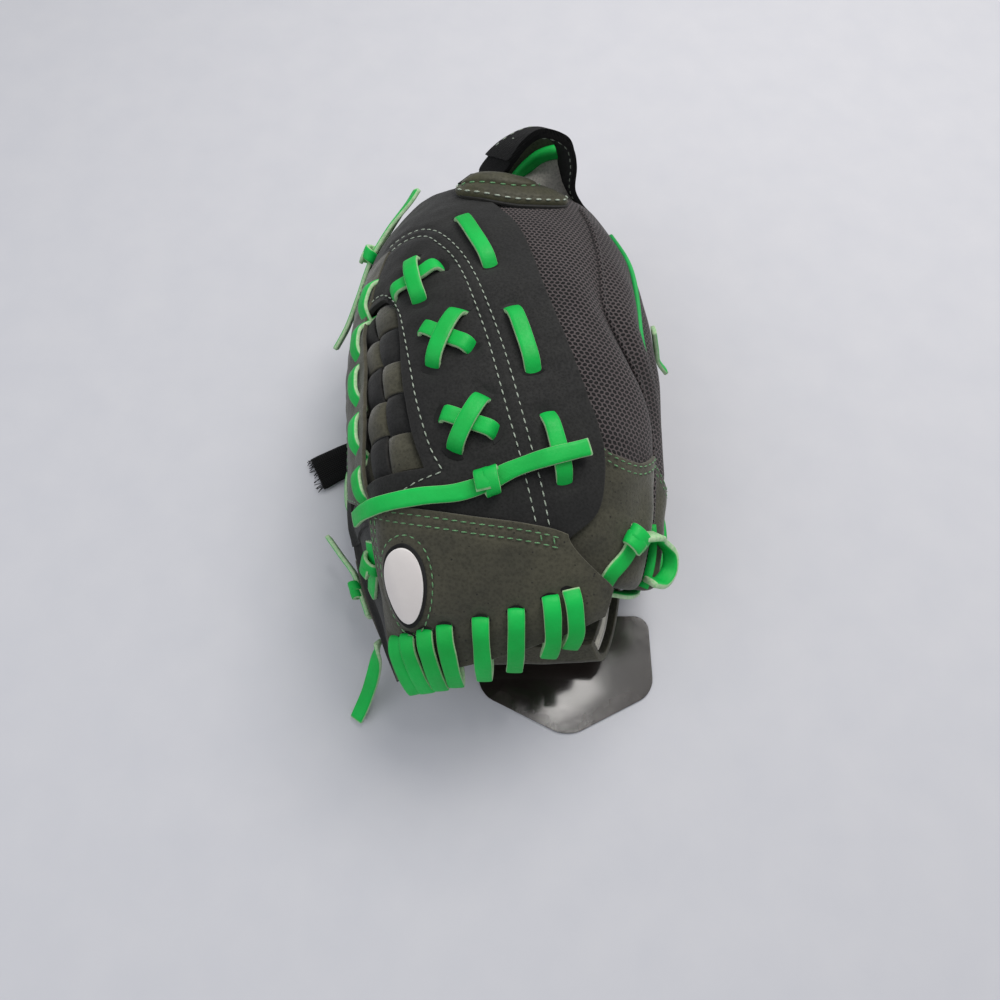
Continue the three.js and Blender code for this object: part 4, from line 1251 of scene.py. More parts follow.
@dataclass
class Seam:
    """A row of stitches along a route."""

    route: Route
    pitch: float = 3.6
    length: float = 2.7
    wide: float = 0.62
    thick: float = 0.5

    def sew(self, bm: bmesh.types.BMesh) -> None:
        """Adds the stitches to a mesh."""
        r = self.route
        count = max(1, int(r.length / self.pitch))
        gap, reach = r.length / count, 0.6

        def on(rows: Array, at: float) -> Array:
            """The route's point or way out, a distance along it."""
            return np.array([np.interp(at, r.gone, rows[:, k]) for k in range(3)])

        for i in range(count):
            at = (i + 0.5) * gap
            ends = on(r.points, at - reach), on(r.points, at + reach)
            middle = (ends[0] + ends[1]) / 2
            ahead = unit(ends[1] - ends[0])
            up = on(r.ups, at)
            side = unit(np.cross(up, ahead))
            up = np.cross(ahead, side)
            lean = unit(ahead + 0.08 * side)
            frame = Matrix.Identity(4)
            for k, (way, size) in enumerate(((lean, self.length), (side, self.wide), (up, self.thick))):
                frame.col[k] = Vector((*(way * size * MM), 0))
            frame.translation = Vector(middle * MM)
            bmesh.ops.create_uvsphere(bm, u_segments=6, v_segments=4, radius=0.5, matrix=frame)


@dataclass
class Slit:
    """A lace hole: its place, the lace's heading there and the leather's height."""

    degrees: float
    y: float
    to: tuple[float, float]
    height: float
    half: tuple[float, float] = (4.5, 1.8)
    dip: float = 1.3

    def __post_init__(self) -> None:
        """Works out which way is across the lace."""
        self.scale = float(FORM.per_degree(self.degrees, self.y))
        arc, rise = (self.to[0] - self.degrees) * self.scale, self.to[1] - self.y
        size = math.hypot(arc, rise)
        self.ahead = (arc / size, rise / size)

    def local(self, degrees: Array, y: Array) -> tuple[Array, Array]:
        """How far places lie across the hole and along the lace, in half sizes."""
        arc, rise = (degrees - self.degrees) * self.scale, y - self.y
        across = (-self.ahead[1] * arc + self.ahead[0] * rise) / self.half[0]
        return across, (self.ahead[0] * arc + self.ahead[1] * rise) / self.half[1]

    def dent(self, degrees: Array, y: Array) -> Array:
        """How far the leather is pulled in round the hole, below zero."""
        a, b = self.local(degrees, y)
        return -self.dip * np.exp(-((a / 1.15) ** 2) - (b / 1.6) ** 2)

    def add(self, bm: bmesh.types.BMesh) -> None:
        """Adds a dark lens of painted shadow over the hole to a mesh."""
        made = bmesh.ops.create_grid(bm, x_segments=8, y_segments=4, size=0.5)["verts"]
        flat = np.array([(2 * v.co.x, 2 * v.co.y) for v in made])
        a = flat[:, 0] * np.sqrt(1 - flat[:, 1] ** 2 / 2) * self.half[0]
        b = flat[:, 1] * np.sqrt(1 - flat[:, 0] ** 2 / 2) * self.half[1]
        b *= 1 - 0.45 * (a / self.half[0]) ** 2
        degrees = self.degrees + (-self.ahead[1] * a + self.ahead[0] * b) / self.scale
        y = self.y + self.ahead[0] * a + self.ahead[1] * b
        edge = np.abs(flat).max(1)
        height = self.height + self.dent(degrees, y) + np.where(edge > 0.9, -0.15, 0.14)
        for v, p in zip(made, FORM.at(degrees, y, height)):
            v.co = p * MM


def dents(slits: Sequence[Slit], degrees: Array, y: Array) -> Array:
    """How far the leather is pulled in round several holes.

    Args:
        slits: The holes.
        degrees: Angles of the places that are asked for.
        y: Where they lie along the glove.

    Returns:
        Heights below zero.
    """
    return sum((slit.dent(degrees, y) for slit in slits), np.zeros_like(y))


@dataclass
class Fingers:
    """The four mesh backs with their suede fingertips, pipings and inner walls."""

    bench: Bench
    wrist_y: float = 97.0
    cap_y: float = -30.0
    web_side: float = 88.0
    pinky_edge: float = -20.0
    cloth_per_degree: float = 1.3
    names: tuple[str, ...] = ("index", "middle", "ring", "pinky")
    index_line: Curve = Curve(
        (0, -30), (0.36, -31), (0.45, -37.5), (0.52, -41), (0.62, -42.5),
        (0.72, -41.8), (0.8, -38.6), (0.9, -33), (1, -31),
    )

    def borders(self, k: int) -> tuple[Callable[[Array], Array], Callable[[Array], Array]]:
        """The two borders of a finger, as functions of y."""
        edges = [
            lambda y: self.web_side + 15 * smooth((np.asarray(y, float) - 66) / 24),
            *[lambda y, i=i: FORM.border(i, y) for i in range(3)],
            lambda y: np.full(np.shape(y), self.pinky_edge),
        ]
        return (lambda y: edges[k](y) - 0.2), (lambda y: edges[k + 1](y) + 0.2)

    def cap_line(self, k: int, s: Array) -> Array:
        """Where the suede of a finger starts: it sags towards the tip between the finger's sides."""
        if k == 0:
            return self.index_line(s)
        return self.cap_y - 1.5 - 7.0 * np.sin(math.pi * clamp01(s)) ** 2

    def back(self, k: int) -> None:
        """Builds the mesh back of a finger."""
        a, b = self.borders(k)

        def place(s: Array, t: Array) -> Spot:
            """Angle and place along; past the collar the cloth reaches on to the strap's tab."""
            degrees = mix(a(np.full_like(s, self.wrist_y)), b(np.full_like(s, self.wrist_y)), s)
            far = self.wrist_y + 7.0 * smooth((64 - degrees) / 10) * smooth((degrees - 4) / 14)
            y = mix(far, self.cap_line(k, s) - 4, t)
            return mix(a(y), b(y), s), y

        def cloth(s: Array, t: Array) -> Spot:
            """Place on the uncut mesh."""
            degrees, y = place(s, t)
            return self.cloth_per_degree * (degrees - 40), y

        def relief(p: Array, degrees: Array, y: Array) -> Array:
            """Soft unevenness of the cloth, away from the web."""
            free = smooth((WEB_EDGE(y) - 3 - degrees) / 6)
            tuck = -0.9 * smooth((self.cap_y - y - 2) / 9)
            return 0.35 * ripple(p, 28, 3 + k) * free + tuck

        across = 44 if k == 0 else 30
        points = sheet(place, -2.0, -0.05, relief)
        bm = shell(points, across, 100, 0.5, cloth=cloth)
        name = self.names[k] + "_back"
        piece = self.bench.piece(bm, name + "_mesh", Stuff.MESH, Body.FINGERS, [name])
        s, t = np.meshgrid(np.linspace(0, 1, 31), np.linspace(0, 1, 61))
        grid = points(s.ravel(), t.ravel(), np.zeros(s.size)).reshape(*s.shape, 3)

    def tip(self, k: int, slits: Sequence[Slit]) -> None:
        """Builds the suede fingertip of a finger."""
        a, b = self.borders(k)

        def points(s: Array, t: Array, layer: Array) -> Array:
            """Points of the fingertip: along the back, round the end and down to the palm."""
            inner = 2.0 * layer
            degrees_tip = mix(a(np.full_like(s, -90)), b(np.full_like(s, -90)), s)
            tip = FORM.fingertip_y(degrees_tip) + inner
            start = self.cap_line(k, s)
            y, h, round_, down = fold_over(t, start, tip, FORM.finger_wall(tip), inner, 0.62)
            degrees = mix(a(y), b(y), s)
            free = smooth((WEB_EDGE(y) - 2 - degrees) / 5)
            lap = 0.95 * (1 - smooth((start - y - 3) / 16)) * free
            p = FORM.at(degrees, y, h)
            fullness = 0.55 * np.sin(math.pi * clamp01(s)) * smooth((start - y) / 20) * (1 - down) * free
            folds = 0.55 * ripple(p, 17, 31 + k) * free * (1 - down)
            holes = dents(slits, degrees, y) * (1 - round_)
            return FORM.at(degrees, y, h + lap + fullness + folds * smooth((start - y) / 12) + holes)

        bm = shell(points, 44 if k == 0 else 26, 60, 0.55)
        name = self.names[k] + "_fingertip"
        self.bench.piece(bm, name + "_suede", Stuff.GREY_SUEDE, Body.FINGERS, [name])

    def seams(self) -> None:
        """Sews two rows along the start of each fingertip."""
        rows = []
        for k in range(4):
            a, b = self.borders(k)
            for inset in (1.6, 4.6):
                places = []
                for s in np.linspace(0.34 if k == 0 else 0.06, 0.95, 12):
                    y = float(self.cap_line(k, s)) - inset
                    places.append((float(mix(a(y), b(y), s)), y))
                rows.append(Seam(Route(places, 1.1), 3.2, 2.3, 0.6, 0.6))
        self.bench.sew("fingertip_seams", Stuff.GREEN_THREAD, Body.FINGERS, rows)

    def pipings(self) -> None:
        """Builds the cords between the fingers and the walls below them."""
        for i, name in enumerate(("index_middle", "middle_ring", "ring_pinky")):
            tip = float(FORM.fingertip_y(FORM.border(i, -90.0))) + 4
            stops = []
            for y in np.linspace(self.wrist_y - 4, tip, 30):
                d = float(FORM.border(i, y))
                stops.append(FORM.stop((d, y, 0.35), (d, y - 1)))
            cord = Ribbon(stops, 2.5, 2.5, Section.ROUND, 2.0)
            stuff = Stuff.MESH if i == 0 else Stuff.PIPING
            self.bench.piece(cord.build(), name + "_piping_cord", stuff, Body.FINGERS, [name + "_piping"])
            if i < 2:
                self.piping_end(i, name, tip)
            wall = standing(lambda y, i=i: FORM.border(i, y), (15.0, tip), FORM.finger_wall)
            self.wall(name + "_fourchette", wall, Stuff.LINING)

    def piping_end(self, i: int, name: str, tip: float) -> None:
        """Builds the lace that stands out of the valley between two fingertips.

        Args:
            i: The valley's number.
            name: The names of the fingers beside it.
            tip: Where the fingers end along the glove.
        """
        start, high = ((-60, 2.6), (-44, 4.2))[i]
        stops = []
        for y in np.linspace(start, tip - 2, 9):
            d = float(FORM.border(i, y))
            share = (start - y) / (start - tip)
            rise = -0.6 + high * math.sin(math.pi * min(1.0, 0.1 + 0.6 * share))
            stops.append((FORM.at(d, y, rise), FORM.outward(d, y)))
        bm = Ribbon(stops, 4.6, 2.4, Section.ROUND, 1.5).build()
        self.bench.piece(bm, name + "_lace_end", Stuff.LACE, Body.FINGERS)

    def wall(self, name: str, points: Points, stuff: Stuff) -> None:
        """Builds a standing wall of a stall.

        Args:
            name: The node that it stands for.
            points: The wall's points.
            stuff: Its finish.
        """
        self.bench.piece(shell(points, 8, 40, 0.4), name + "_skin", stuff, Body.FINGERS, [name])

    def build(self, slits: Sequence[Slit]) -> None:
        """Builds all of it.

        Args:
            slits: The lace holes that dent the index finger.
        """
        for k in range(4):
            self.back(k)
            self.tip(k, slits if k == 0 else ())
        self.seams()
        self.pipings()
        self.wall("index_side_wall", standing(86.7, (90, -86), FORM.finger_wall), Stuff.GREY_SUEDE)
        tip = float(FORM.fingertip_y(self.pinky_edge)) + 7
        edge = standing(self.pinky_edge + WALL_DEG, (90, tip), FORM.finger_wall, -2.75)
        self.wall("pinky_side_wall", edge, Stuff.GREY_SUEDE)


@dataclass
class Web:
    """The black web panel with its window of woven strips, its lining side, the suede cap and the badge."""

    bench: Bench
    top_y: float = 100.0
    window_y: tuple[float, float] = (32.0, -50.0)
    window_hinge: float = 168.0
    window_side: Curve = Curve(
        (32, 129.5), (29, 126), (24, 123.6), (11, 121.5),
        (-10, 119.7), (-22, 118.3), (-37, 116.2), (-50, 113.2),
    )
    first_long: Curve = Curve((38, 137.4), (23, 134.7), (12, 131.6), (-13, 127.6), (-35, 126), (-50, 125.2))
    second_wide: float = 10.5
    long_strips: int = 3
    cross_strips: int = 5
    strip_fill: float = 0.9
    weave_height: float = -2.2
    weave_swing: float = 1.42
    badge_mid: tuple[float, float] = (124.5, -87.0)
    badge_tilt: float = -0.22
    outer_row: tuple[tuple[float, float], ...] = (
        (133, 66), (127, 68), (119.6, 68), (114.1, 64.8), (109.6, 59.5), (103, 47.7), (98.3, 35),
        (93.9, 18.7), (89.9, 1.5), (86.8, -13.9), (83.8, -29.9), (80.7, -45.5), (78.2, -56.9),
        (75.4, -71),
    )
    inner_row: tuple[tuple[float, float], ...] = (
        (131, 62), (126, 63.6), (121.2, 63.7), (116, 61.4), (110.7, 54.2), (105.8, 45.6), (101.7, 34.3),
        (98, 19.9), (93.8, 1.6), (90.5, -15.8), (87.5, -31.7), (84.7, -44.8), (82.5, -55.5),
        (79.4, -70),
    )
    window_row: tuple[tuple[float, float], ...] = (
        (139, 36.5), (131, 35.5), (126.5, 31), (122.2, 21), (119.9, 9.9), (117.1, -7.5), (115.2, -21.3),
        (112.7, -35), (110.7, -43.6), (107.6, -51.6),
    )
    corner_row: tuple[tuple[float, float], ...] = ((107.6, -51.9), (111.1, -53), (115.9, -54.6), (121, -56.9))

    def round_window(self, s: Array, y: Array, start: Array, columns: tuple[float, float]) -> Array:
        """Angles of a sheet that is cut out round the window, with grid lines along the window's sides.

        Args:
            s: Shares across.
            y: Places along.
            start: Angles where the sheet starts.
            columns: Shares across of the window's sides.

        Returns:
            The angles.
        """
        s1, s2 = columns
        inner = self.window_side(y)
        first = mix(start, inner, s / s1)
        second = mix(inner, self.window_hinge, (s - s1) / (s2 - s1))
        third = mix(self.window_hinge, HINGE_DEG, (s - s2) / (1 - s2))
        return np.where(s < s1, first, np.where(s < s2, second, third))

    def beside_window(self, t: Array, top: float, rows: tuple[float, float]) -> Array:
        """Places along of such a sheet, down to the window's near side.

        Args:
            t: Shares along.
            top: Where the sheet starts.
            rows: Shares along of the window's far and near side.

        Returns:
            The places.
        """
        far, near = self.window_y
        t1, t2 = rows
        return np.where(t < t1, mix(top, far, t / t1), mix(far, near, (t - t1) / (t2 - t1)))

    @staticmethod
    def on_cap(degrees: Array | float, t: Array | float) -> Array:
        """Place along, a share of the way over the cap."""
        return mix(CAP_SEAM_Y(degrees), CAP_EDGE_Y(degrees), t)

    def long_deg(self, share: Array, y: Array) -> Array:
        """Angle of a share of the way over the long strips: two narrow ones, then a wide one to the hinge."""
        first = self.first_long(y)
        second = first + self.second_wide
        part = 3 * share
        rest = np.where(part < 2, mix(first, second, part - 1), mix(second, self.window_hinge, part - 2))
        return np.where(part < 1, mix(self.window_side(y), first, part), rest)

    def swell(self, points: Array) -> Array:
        """Soft swell of the panel's leather, and of the strip that lies on it."""
        return 0.35 * ripple(points, 34, 5) + 0.16 * ripple(points, 11, 6)

    def panel(self, slits: Sequence[Slit], seams: Sequence[Route]) -> None:
        """Builds the black panel, cut out round its window.

        Args:
            slits: The lace holes that dent it.
            seams: The rows of stitches that press it in.
        """
        across, along = 132, 180
        s1, s2 = 84 / across, 122 / across
        t1, t2 = 66 / along, 150 / along
        lines = np.concatenate([r.points[::3] for r in seams])

        def place(s: Array, t: Array) -> Spot:
            """Angle and place along."""
            y = self.beside_window(t, self.top_y, (t1, t2))
            for _ in range(2):
                degrees = self.round_window(s, y, WEB_EDGE(y), (s1, s2))
                end = mix(self.window_y[1], CAP_SEAM_Y(degrees) - 9, (t - t2) / (1 - t2))
                y = np.where(t > t2, end, y)
            return degrees, y

        def relief(p: Array, degrees: Array, y: Array) -> Array:
            """Soft swell of the leather, pressed in along the seams and at the lace holes."""
            seam = -0.55 * np.exp(-((away(p, lines) / 1.5) ** 2))
            return self.swell(p) + seam + dents(slits, degrees, y)

        points = sheet(place, LAYERS.over[0], LAYERS.over[1] - 0.1, relief)
        bm = shell(points, across, along, 0.7, (s1, s2, t1, t2))
        self.bench.piece(bm, "web_panel_leather", Stuff.BLACK_LEATHER, Body.FINGERS, ["web_panel"])

    def palm_side(self) -> None:
        """Builds the leather on the web's palm side."""
        across, along = 60, 80
        s1, s2 = 14 / across, 50 / across
        t1, t2 = 24 / along, 60 / along

        def place(s: Array, t: Array) -> Spot:
            """Angle and place along."""
            y = self.beside_window(t, 88, (t1, t2))
            start = np.maximum(88.5, RUNNING_DEG(y) + 6.6)
            degrees = self.round_window(s, y, start, (s1, s2))
            end = mix(self.window_y[1], CAP_EDGE_Y(degrees) + 6.6, (t - t2) / (1 - t2))
            return degrees, np.where(t > t2, end, y)

        points = sheet(place, *LAYERS.web_back, lambda p, d, y: 0.3 * ripple(p, 30, 8))
        bm = shell(points, across, along, 0.6, (s1, s2, t1, t2))
        self.bench.piece(bm, "web_palm_side_leather", Stuff.BLACK_LEATHER, Body.FINGERS, ["web_palm_side"])

    def strip(self, index: int, is_long: bool) -> None:
        """Builds one woven strip, as a soft band that swells where it lies on top.

        Args:
            index: Its number.
            is_long: Whether it runs along the glove.
        """
        crossed = self.cross_strips if is_long else self.long_strips
        tuck = 0.3 if is_long else 0.12

        def points(s: Array, t: Array, layer: Array) -> Array:
            """Points of the strip."""
            v = mix(-0.5 - tuck, crossed - 0.5 + tuck, t)
            e = (s - 0.5) * self.strip_fill
            long_share = ((index + e if is_long else v) + 0.5) / self.long_strips
            cross_share = ((v if is_long else index + e) + 0.5) / self.cross_strips
            y = mix(self.window_y[0], self.window_y[1], cross_share)
            degrees = self.long_deg(long_share, y)
            wave = np.cos(math.pi * v) * (1 if index % 2 else -1) * (1 if is_long else -1)
            wave = wave * (1.35 - 0.35 * wave**2)
            inside = smooth((v + 0.6) / 0.3) * smooth((crossed - 0.4 - v) / 0.3)
            crown = 1.5 * (1 - (2 * s - 1) ** 2) * smooth(0.5 + wave) * inside
            rise = 0.65 - 1.3 * layer
            p = FORM.at(degrees, y, 0)
            height = self.weave_height + self.weave_swing * wave + rise + crown
            return FORM.at(degrees, y, height + 0.2 * ripple(p, 16, 40 + index))

        bm = shell(points, 10, 16 * crossed, 0.4)
        kind = "long" if is_long else "cross"
        stuff = Stuff.BLACK_LEATHER if is_long else Stuff.GREY_SUEDE
        name = f"web_{kind}_strip_{index + 1}"
        self.bench.piece(bm, name + "_band", stuff, Body.FINGERS, [name])

    def cap(self, slits: Sequence[Slit], seams: Sequence[Route]) -> None:
        """Builds the suede cap.

        Args:
            slits: The lace holes that dent it.
            seams: The rows of stitches that press it in.
        """
        lines = np.concatenate([r.points[::3] for r in seams])

        def place(s: Array, t: Array) -> Spot:
            """Angle and place along."""
            degrees = mix(mix(70, 54, smooth(2 * t)), CAP_SIDE_DEG(t), s)
            return degrees, self.on_cap(degrees, t)

        def beside(s: Array, t: Array) -> Spot:
            """Angle and place along of the black leather beside the cap."""
            degrees = mix(CAP_SIDE_DEG(t) - 3, HINGE_DEG, s)
            return degrees, self.on_cap(degrees, t)

        def side_top(degrees: Array, y: Array) -> Array:
            """Height of the black leather, which sinks towards the hinge."""
            return 3.1 - 1.6 * smooth((degrees - 138) / 14) + 0.35 * ripple(FORM.at(degrees, y, 0), 22, 17)

        def relief(p: Array, degrees: Array, y: Array) -> Array:
            """Swell, pressed in along the seams, at the lace holes and towards the edge."""
            seam = -0.5 * np.exp(-((away(p, lines) / 1.4) ** 2))
            swell = 0.5 * ripple(p, 38, 15) + 0.18 * ripple(p, 12, 16)
            edge = -0.5 * smooth((CAP_EDGE_Y(degrees) + 5 - y) / 5)
            return swell + seam + dents(slits, degrees, y) + edge

        bm = shell(sheet(place, LAYERS.cap[0], LAYERS.cap[1] - 0.1, relief), 110, 64, 0.7)
        self.bench.piece(bm, "web_cap_suede", Stuff.GREY_SUEDE, Body.FINGERS, ["web_cap"])
        bm = shell(sheet(beside, lambda d, y: side_top(d, y) - 2.0, side_top), 40, 50, 0.6)
        self.bench.piece(bm, "web_cap_side_leather", Stuff.BLACK_LEATHER, Body.FINGERS)

    def badge(self) -> None:
        """Builds the blank badge, with a dark sheet of painted shade in the recess round it."""
        top = LAYERS.cap[1]
        # The dark oval under the badge is painted shade, where the recess would fall into shadow.
        recess = sheet(oval(*self.badge_mid, 8.6, 12.9, self.badge_tilt), top - 0.3, top + 0.62)
        self.bench.piece(shell(recess, 28, 28, 0.3), "web_badge_recess_shade", Stuff.SLIT, Body.FINGERS)
        low = top + 0.3

        def crown(degrees: Array, y: Array) -> Array:
            """A gently domed face."""
            out = ((degrees - self.badge_mid[0]) / 7.8) ** 2 + ((y - self.badge_mid[1]) / 11.8) ** 2
            return low + 0.75 + 0.5 * np.sqrt(np.maximum(0, 1.05 - out))

        face = shell(sheet(oval(*self.badge_mid, 7.5, 11.5, self.badge_tilt), low, crown), 30, 30, 0.35)
        self.bench.piece(face, "web_badge_face", Stuff.BADGE, Body.FINGERS, ["web_badge"])

    def edge_strip(self) -> None:
        """Builds the suede strip between the window and the hinge."""
        near = Curve(
            (62, 131), (37, 135.6), (28, 138), (16, 137), (-5, 135.6), (-24, 135.2), (-47, 137.2), (-57, 136)
        )
        far = lambda y: 171 - 24 * (smooth((y - 34) / 28) + smooth((-35 - y) / 22))
        place = panel(near, far, 62, -57)

        def top(degrees: Array, y: Array) -> Array:
            """Height, sinking to the cap's side at its end."""
            return 3.25 - 0.2 * smooth((-46 - y) / 10)

        relief = lambda p, d, y: self.swell(p) + 0.14 * ripple(p, 9, 92)
        bm = shell(sheet(place, lambda d, y: top(d, y) - 1.7, top, relief), 34, 110, 0.6)
        self.bench.piece(bm, "web_edge_strip", Stuff.GREY_SUEDE, Body.FINGERS)
        places = [(float(far(y)) - 2.2, float(y)) for y in np.linspace(58, -53, 40)]
        seam = Seam(Route(places, lambda d, y: top(d, y) + 0.2))
        self.bench.sew("web_edge_seam", Stuff.GREEN_THREAD, Body.FINGERS, [seam])

    def rows(self) -> dict[str, list[Route]]:
        """The rows of stitching on the panel and on the cap."""
        on_panel = LAYERS.over[1] - 0.3
        lines = (self.outer_row, self.inner_row, self.window_row, self.corner_row)
        panel_rows = [Route(row, on_panel) for row in lines]
        on_cap = LAYERS.cap[1] - 0.25
        cap_rows = []
        for inset in (2.2, 5.4):
            places = [(d, float(CAP_SEAM_Y(d)) - inset) for d in np.linspace(72.5, 131.5, 15)]
            cap_rows.append(Route(places, on_cap))
        for inset in (2.0, 4.4):
            places = []
            for t in np.linspace(0.1, 0.42, 8):
                d = float(CAP_SIDE_DEG(t)) - inset
                places.append((d, float(self.on_cap(d, t))))
            cap_rows.append(Route(places, on_cap))
        for d in (74.6, 78.4):
            y = float(CAP_SEAM_Y(d))
            cap_rows.append(Route([(d, y - 1), (d - 0.4, y - 3.4), (d - 0.8, y - 6.4)], on_cap))
        ring = []
        for a in np.linspace(0, 2 * math.pi, 41):
            v = math.sin(a)
            turn = math.cos(a) + self.badge_tilt * v
            ring.append((self.badge_mid[0] + 10.6 * turn, self.badge_mid[1] + 15.4 * v))
        cap_rows.append(Route(ring, on_cap + 0.1))
        return {"panel": panel_rows, "cap": cap_rows}

    def build(self, panel_slits: Sequence[Slit], cap_slits: Sequence[Slit]) -> None:
        """Builds all of it.

        Args:
            panel_slits: Lace holes of the panel.
            cap_slits: Lace holes of the cap.
        """
        rows = self.rows()
        self.panel(panel_slits, rows["panel"])
        self.palm_side()
        for j in range(self.long_strips):
            self.strip(j, True)
        for i in range(self.cross_strips):
            self.strip(i, False)
        self.edge_strip()
        self.cap(cap_slits, rows["cap"])
        self.badge()
        seams = [Seam(route) for route in rows["panel"]]
        self.bench.sew("web_panel_seams", Stuff.PALE_THREAD, Body.FINGERS, seams)
        seams = [Seam(route, 3.4, 2.6) for route in rows["cap"]]
        self.bench.sew("web_cap_seams", Stuff.GREEN_THREAD, Body.FINGERS, seams)


@dataclass
class Lacing:
    """Every lace that is threaded through the leather."""

    bench: Bench
    dive: float = 2.4
    running: tuple[tuple[float, float], ...] = ((70, 41), (15, -11), (-32, -54))
    thumb_edge: tuple[tuple[float, float], ...] = ((76, 56), (42, 22), (8, -12), (-26, -46))
    thumb_web: tuple[tuple[float, float], ...] = ((70, 44), (30, 4), (-12, -36))
    crossings: tuple[tuple, ...] = (
        (117.4, 36, (2.2, 12.5), (-7.8, 5.4)),
        (106.4, 3, (-3.9, 13), (7.8, 6)),
        (99.4, -34, (-4.5, 10.5), (8, 4)),
    )
    cap_at: tuple[float, ...] = (63.6, 70.9, 83.9, 98, 113, 121.8, 130.8, 139.6)
    web_side: tuple[tuple[float, float], ...] = ((47, 32), (27, 12), (7, -9), (-16, -32), (-40, -54))
    thumb_web_deg: float = 193.0
    cap_reach: float = 12.0
    cap_lean: float = 0.165

    def stitched(
        self, stitches: Sequence[Sequence[float]], angle: Callable[[float], Array], high: float
    ) -> tuple[Ribbon, list[Slit]]:
        """A lace that shows as a row of stitches.

        Args:
            stitches: Where each stitch starts and ends along the glove.
            angle: Its angle at a place along.
            high: Height of the stitches.

        Returns:
            The lace, and the holes that it goes through.
        """

        def at(y: float, h: float) -> Stop:
            """A stop of the lace."""
            return FORM.stop((float(angle(y)), y, h), (float(angle(y - 1)), y - 1))

        through, low = (high + LAYERS.under_back) / 2, LAYERS.under_back
        crown, surface, hole = high + 0.7, high - LAYERS.on_back, 2.3
        stops, slits = [], []
        for i, (a, b) in enumerate(stitches):
            if i > 0:
                stops.append(at(a + 3 * self.dive, low))
            middle = [at(a - self.dive, high), at((a + b) / 2, crown), at(b + self.dive, high)]
            stops += [at(a + self.dive, through), *middle, at(b - self.dive, through)]
            if i < len(stitches) - 1:
                stops.append(at(b - 3 * self.dive, low))
            for place in (a + hole, b - hole):
                to = (float(angle(place - 1)), place - 1)
                slits.append(Slit(float(angle(place)), place, to, surface))
        return Ribbon(stops), slits

    def crossing(self, turns: Sequence[int]) -> tuple[Ribbon, list[Slit]]:
        """A lace that crosses another three times.

        Args:
            turns: For each crossing 2 where it lies over and 3 where it lies under.

        Returns:
            The lace, and the holes that it goes through.
        """
        top, under = LAYERS.on_panel, -1.5
        stops, slits = [], []
        for cross, turn in zip(self.crossings, turns):
            reach = cross[turn]
            lift = 2.3 if turn == 2 else -0.2

            def shifted(here: Sequence[float], f: float) -> tuple[float, float]:
                """The place a share f of the reach from another."""
                return here[0] + f * reach[0], here[1] + f * reach[1]

            def at(f: float, h: float) -> Stop:
                """A stop a share f of the reach from the middle."""
                here = shifted(cross, f)
                return FORM.stop((*here, h), shifted(here, -0.1))

            raised = [at(0.3, top + lift), at(-0.3, top + lift)]
            stops += [at(1.08, under), at(0.8, top), *raised, at(-0.8, top), at(-1.08, under)]
            for f in (1.12, -1.12):
                here = shifted(cross, f)
                slits.append(Slit(*here, shifted(here, 0.1), LAYERS.over[1]))
        return Ribbon(stops), slits

    def slot_deg(self, degrees: float) -> float:
        """Angle of a whip lace's hole, which lies closer to the middle than its turn round the edge."""
        return degrees - self.cap_lean * min(degrees - 88, 0.0)

    def whip(self) -> tuple[Ribbon, list[Slit]]:
        """The lace whipped along the cap's free edge, and its holes."""
        high, low = LAYERS.on_cap, 1.65
        turn, middle, reach = (high - low) / 2, (high + low) / 2, self.cap_reach

        def at(d: float, back: float, h: float) -> Stop:
            """A stop of the lace, a distance back from the edge."""
            place = lambda b: (mix(d, self.slot_deg(d), clamp01(b / reach)), CAP_EDGE_Y(d) + b)
            return FORM.stop((*place(back), h), place(back - 1))

        stops, slits = [], []
        for i, d in enumerate(self.cap_at):
            if i == 0:
                stops.append(at(d, reach, middle))
            over = [at(d, reach - turn, high), at(d, reach / 2 - 1, high + 0.5), at(d, 0, high)]
            stops += [*over, at(d, -turn - LAYERS.lace_thick, middle), at(d, 0, low)]
            if i + 1 < len(self.cap_at):
                nxt = self.cap_at[i + 1]
                stops += [at(nxt, reach - turn, low), at(nxt, reach, middle)]
            y = float(CAP_EDGE_Y(d)) + reach - 0.2
            slot = self.slot_deg(d)
            slits.append(Slit(slot, y, (slot, y - 1), LAYERS.cap[1], (3.9, 1.7)))
        return Ribbon(stops), slits

    def prepare(self) -> dict[str, list[Slit]]:
        """Lays every lace and finds its holes.

        Returns:
            The holes of the panel, of the cap and of the thumb.
        """
        self.laces: dict[str, tuple[Ribbon, Body]] = {}
        running, on_panel = self.stitched(self.running, RUNNING_DEG, LAYERS.on_panel)
        self.laces["web_index_lace"] = (running, Body.FINGERS)
        for i, turns in enumerate(((2, 2, 3), (3, 3, 2))):
            lace, slits = self.crossing(turns)
            self.laces[f"web_cross_lace_{i + 1}"] = (lace, Body.FINGERS)
            on_panel += slits
        whip, on_cap = self.whip()
        self.laces["web_cap_lace"] = (whip, Body.FINGERS)
        edge, on_thumb = self.stitched(self.thumb_edge, lambda y: np.asarray(THUMB_LACE_DEG), LAYERS.on_back)
        self.laces["thumb_edge_lace"] = (edge, Body.THUMB)
        along = lambda y: np.asarray(self.thumb_web_deg)
        side, more = self.stitched(self.thumb_web, along, LAYERS.on_back)
        self.laces["thumb_web_lace"] = (side, Body.THUMB)
        slope = Curve((50, 135), (25, 140.5), (0, 142), (-60, 141))
        self.side_lace = self.stitched(self.web_side, slope, 2.9 + LAYERS.on_back)[0]
        return {"panel": on_panel, "cap": on_cap, "thumb": on_thumb + more}

    def heel(self) -> Ribbon:
        """The thick lace in the heel, on the lining behind the strap."""
        y = 103.0
        h = float(-FORM.finger_wall(y)) + LAYERS.palm_stack + LAYERS.on_back
        stops = [FORM.stop((d, y, h), (d - 1, y)) for d in np.linspace(82, 18, 9)]
        return Ribbon(stops, 6.8, 2.6)

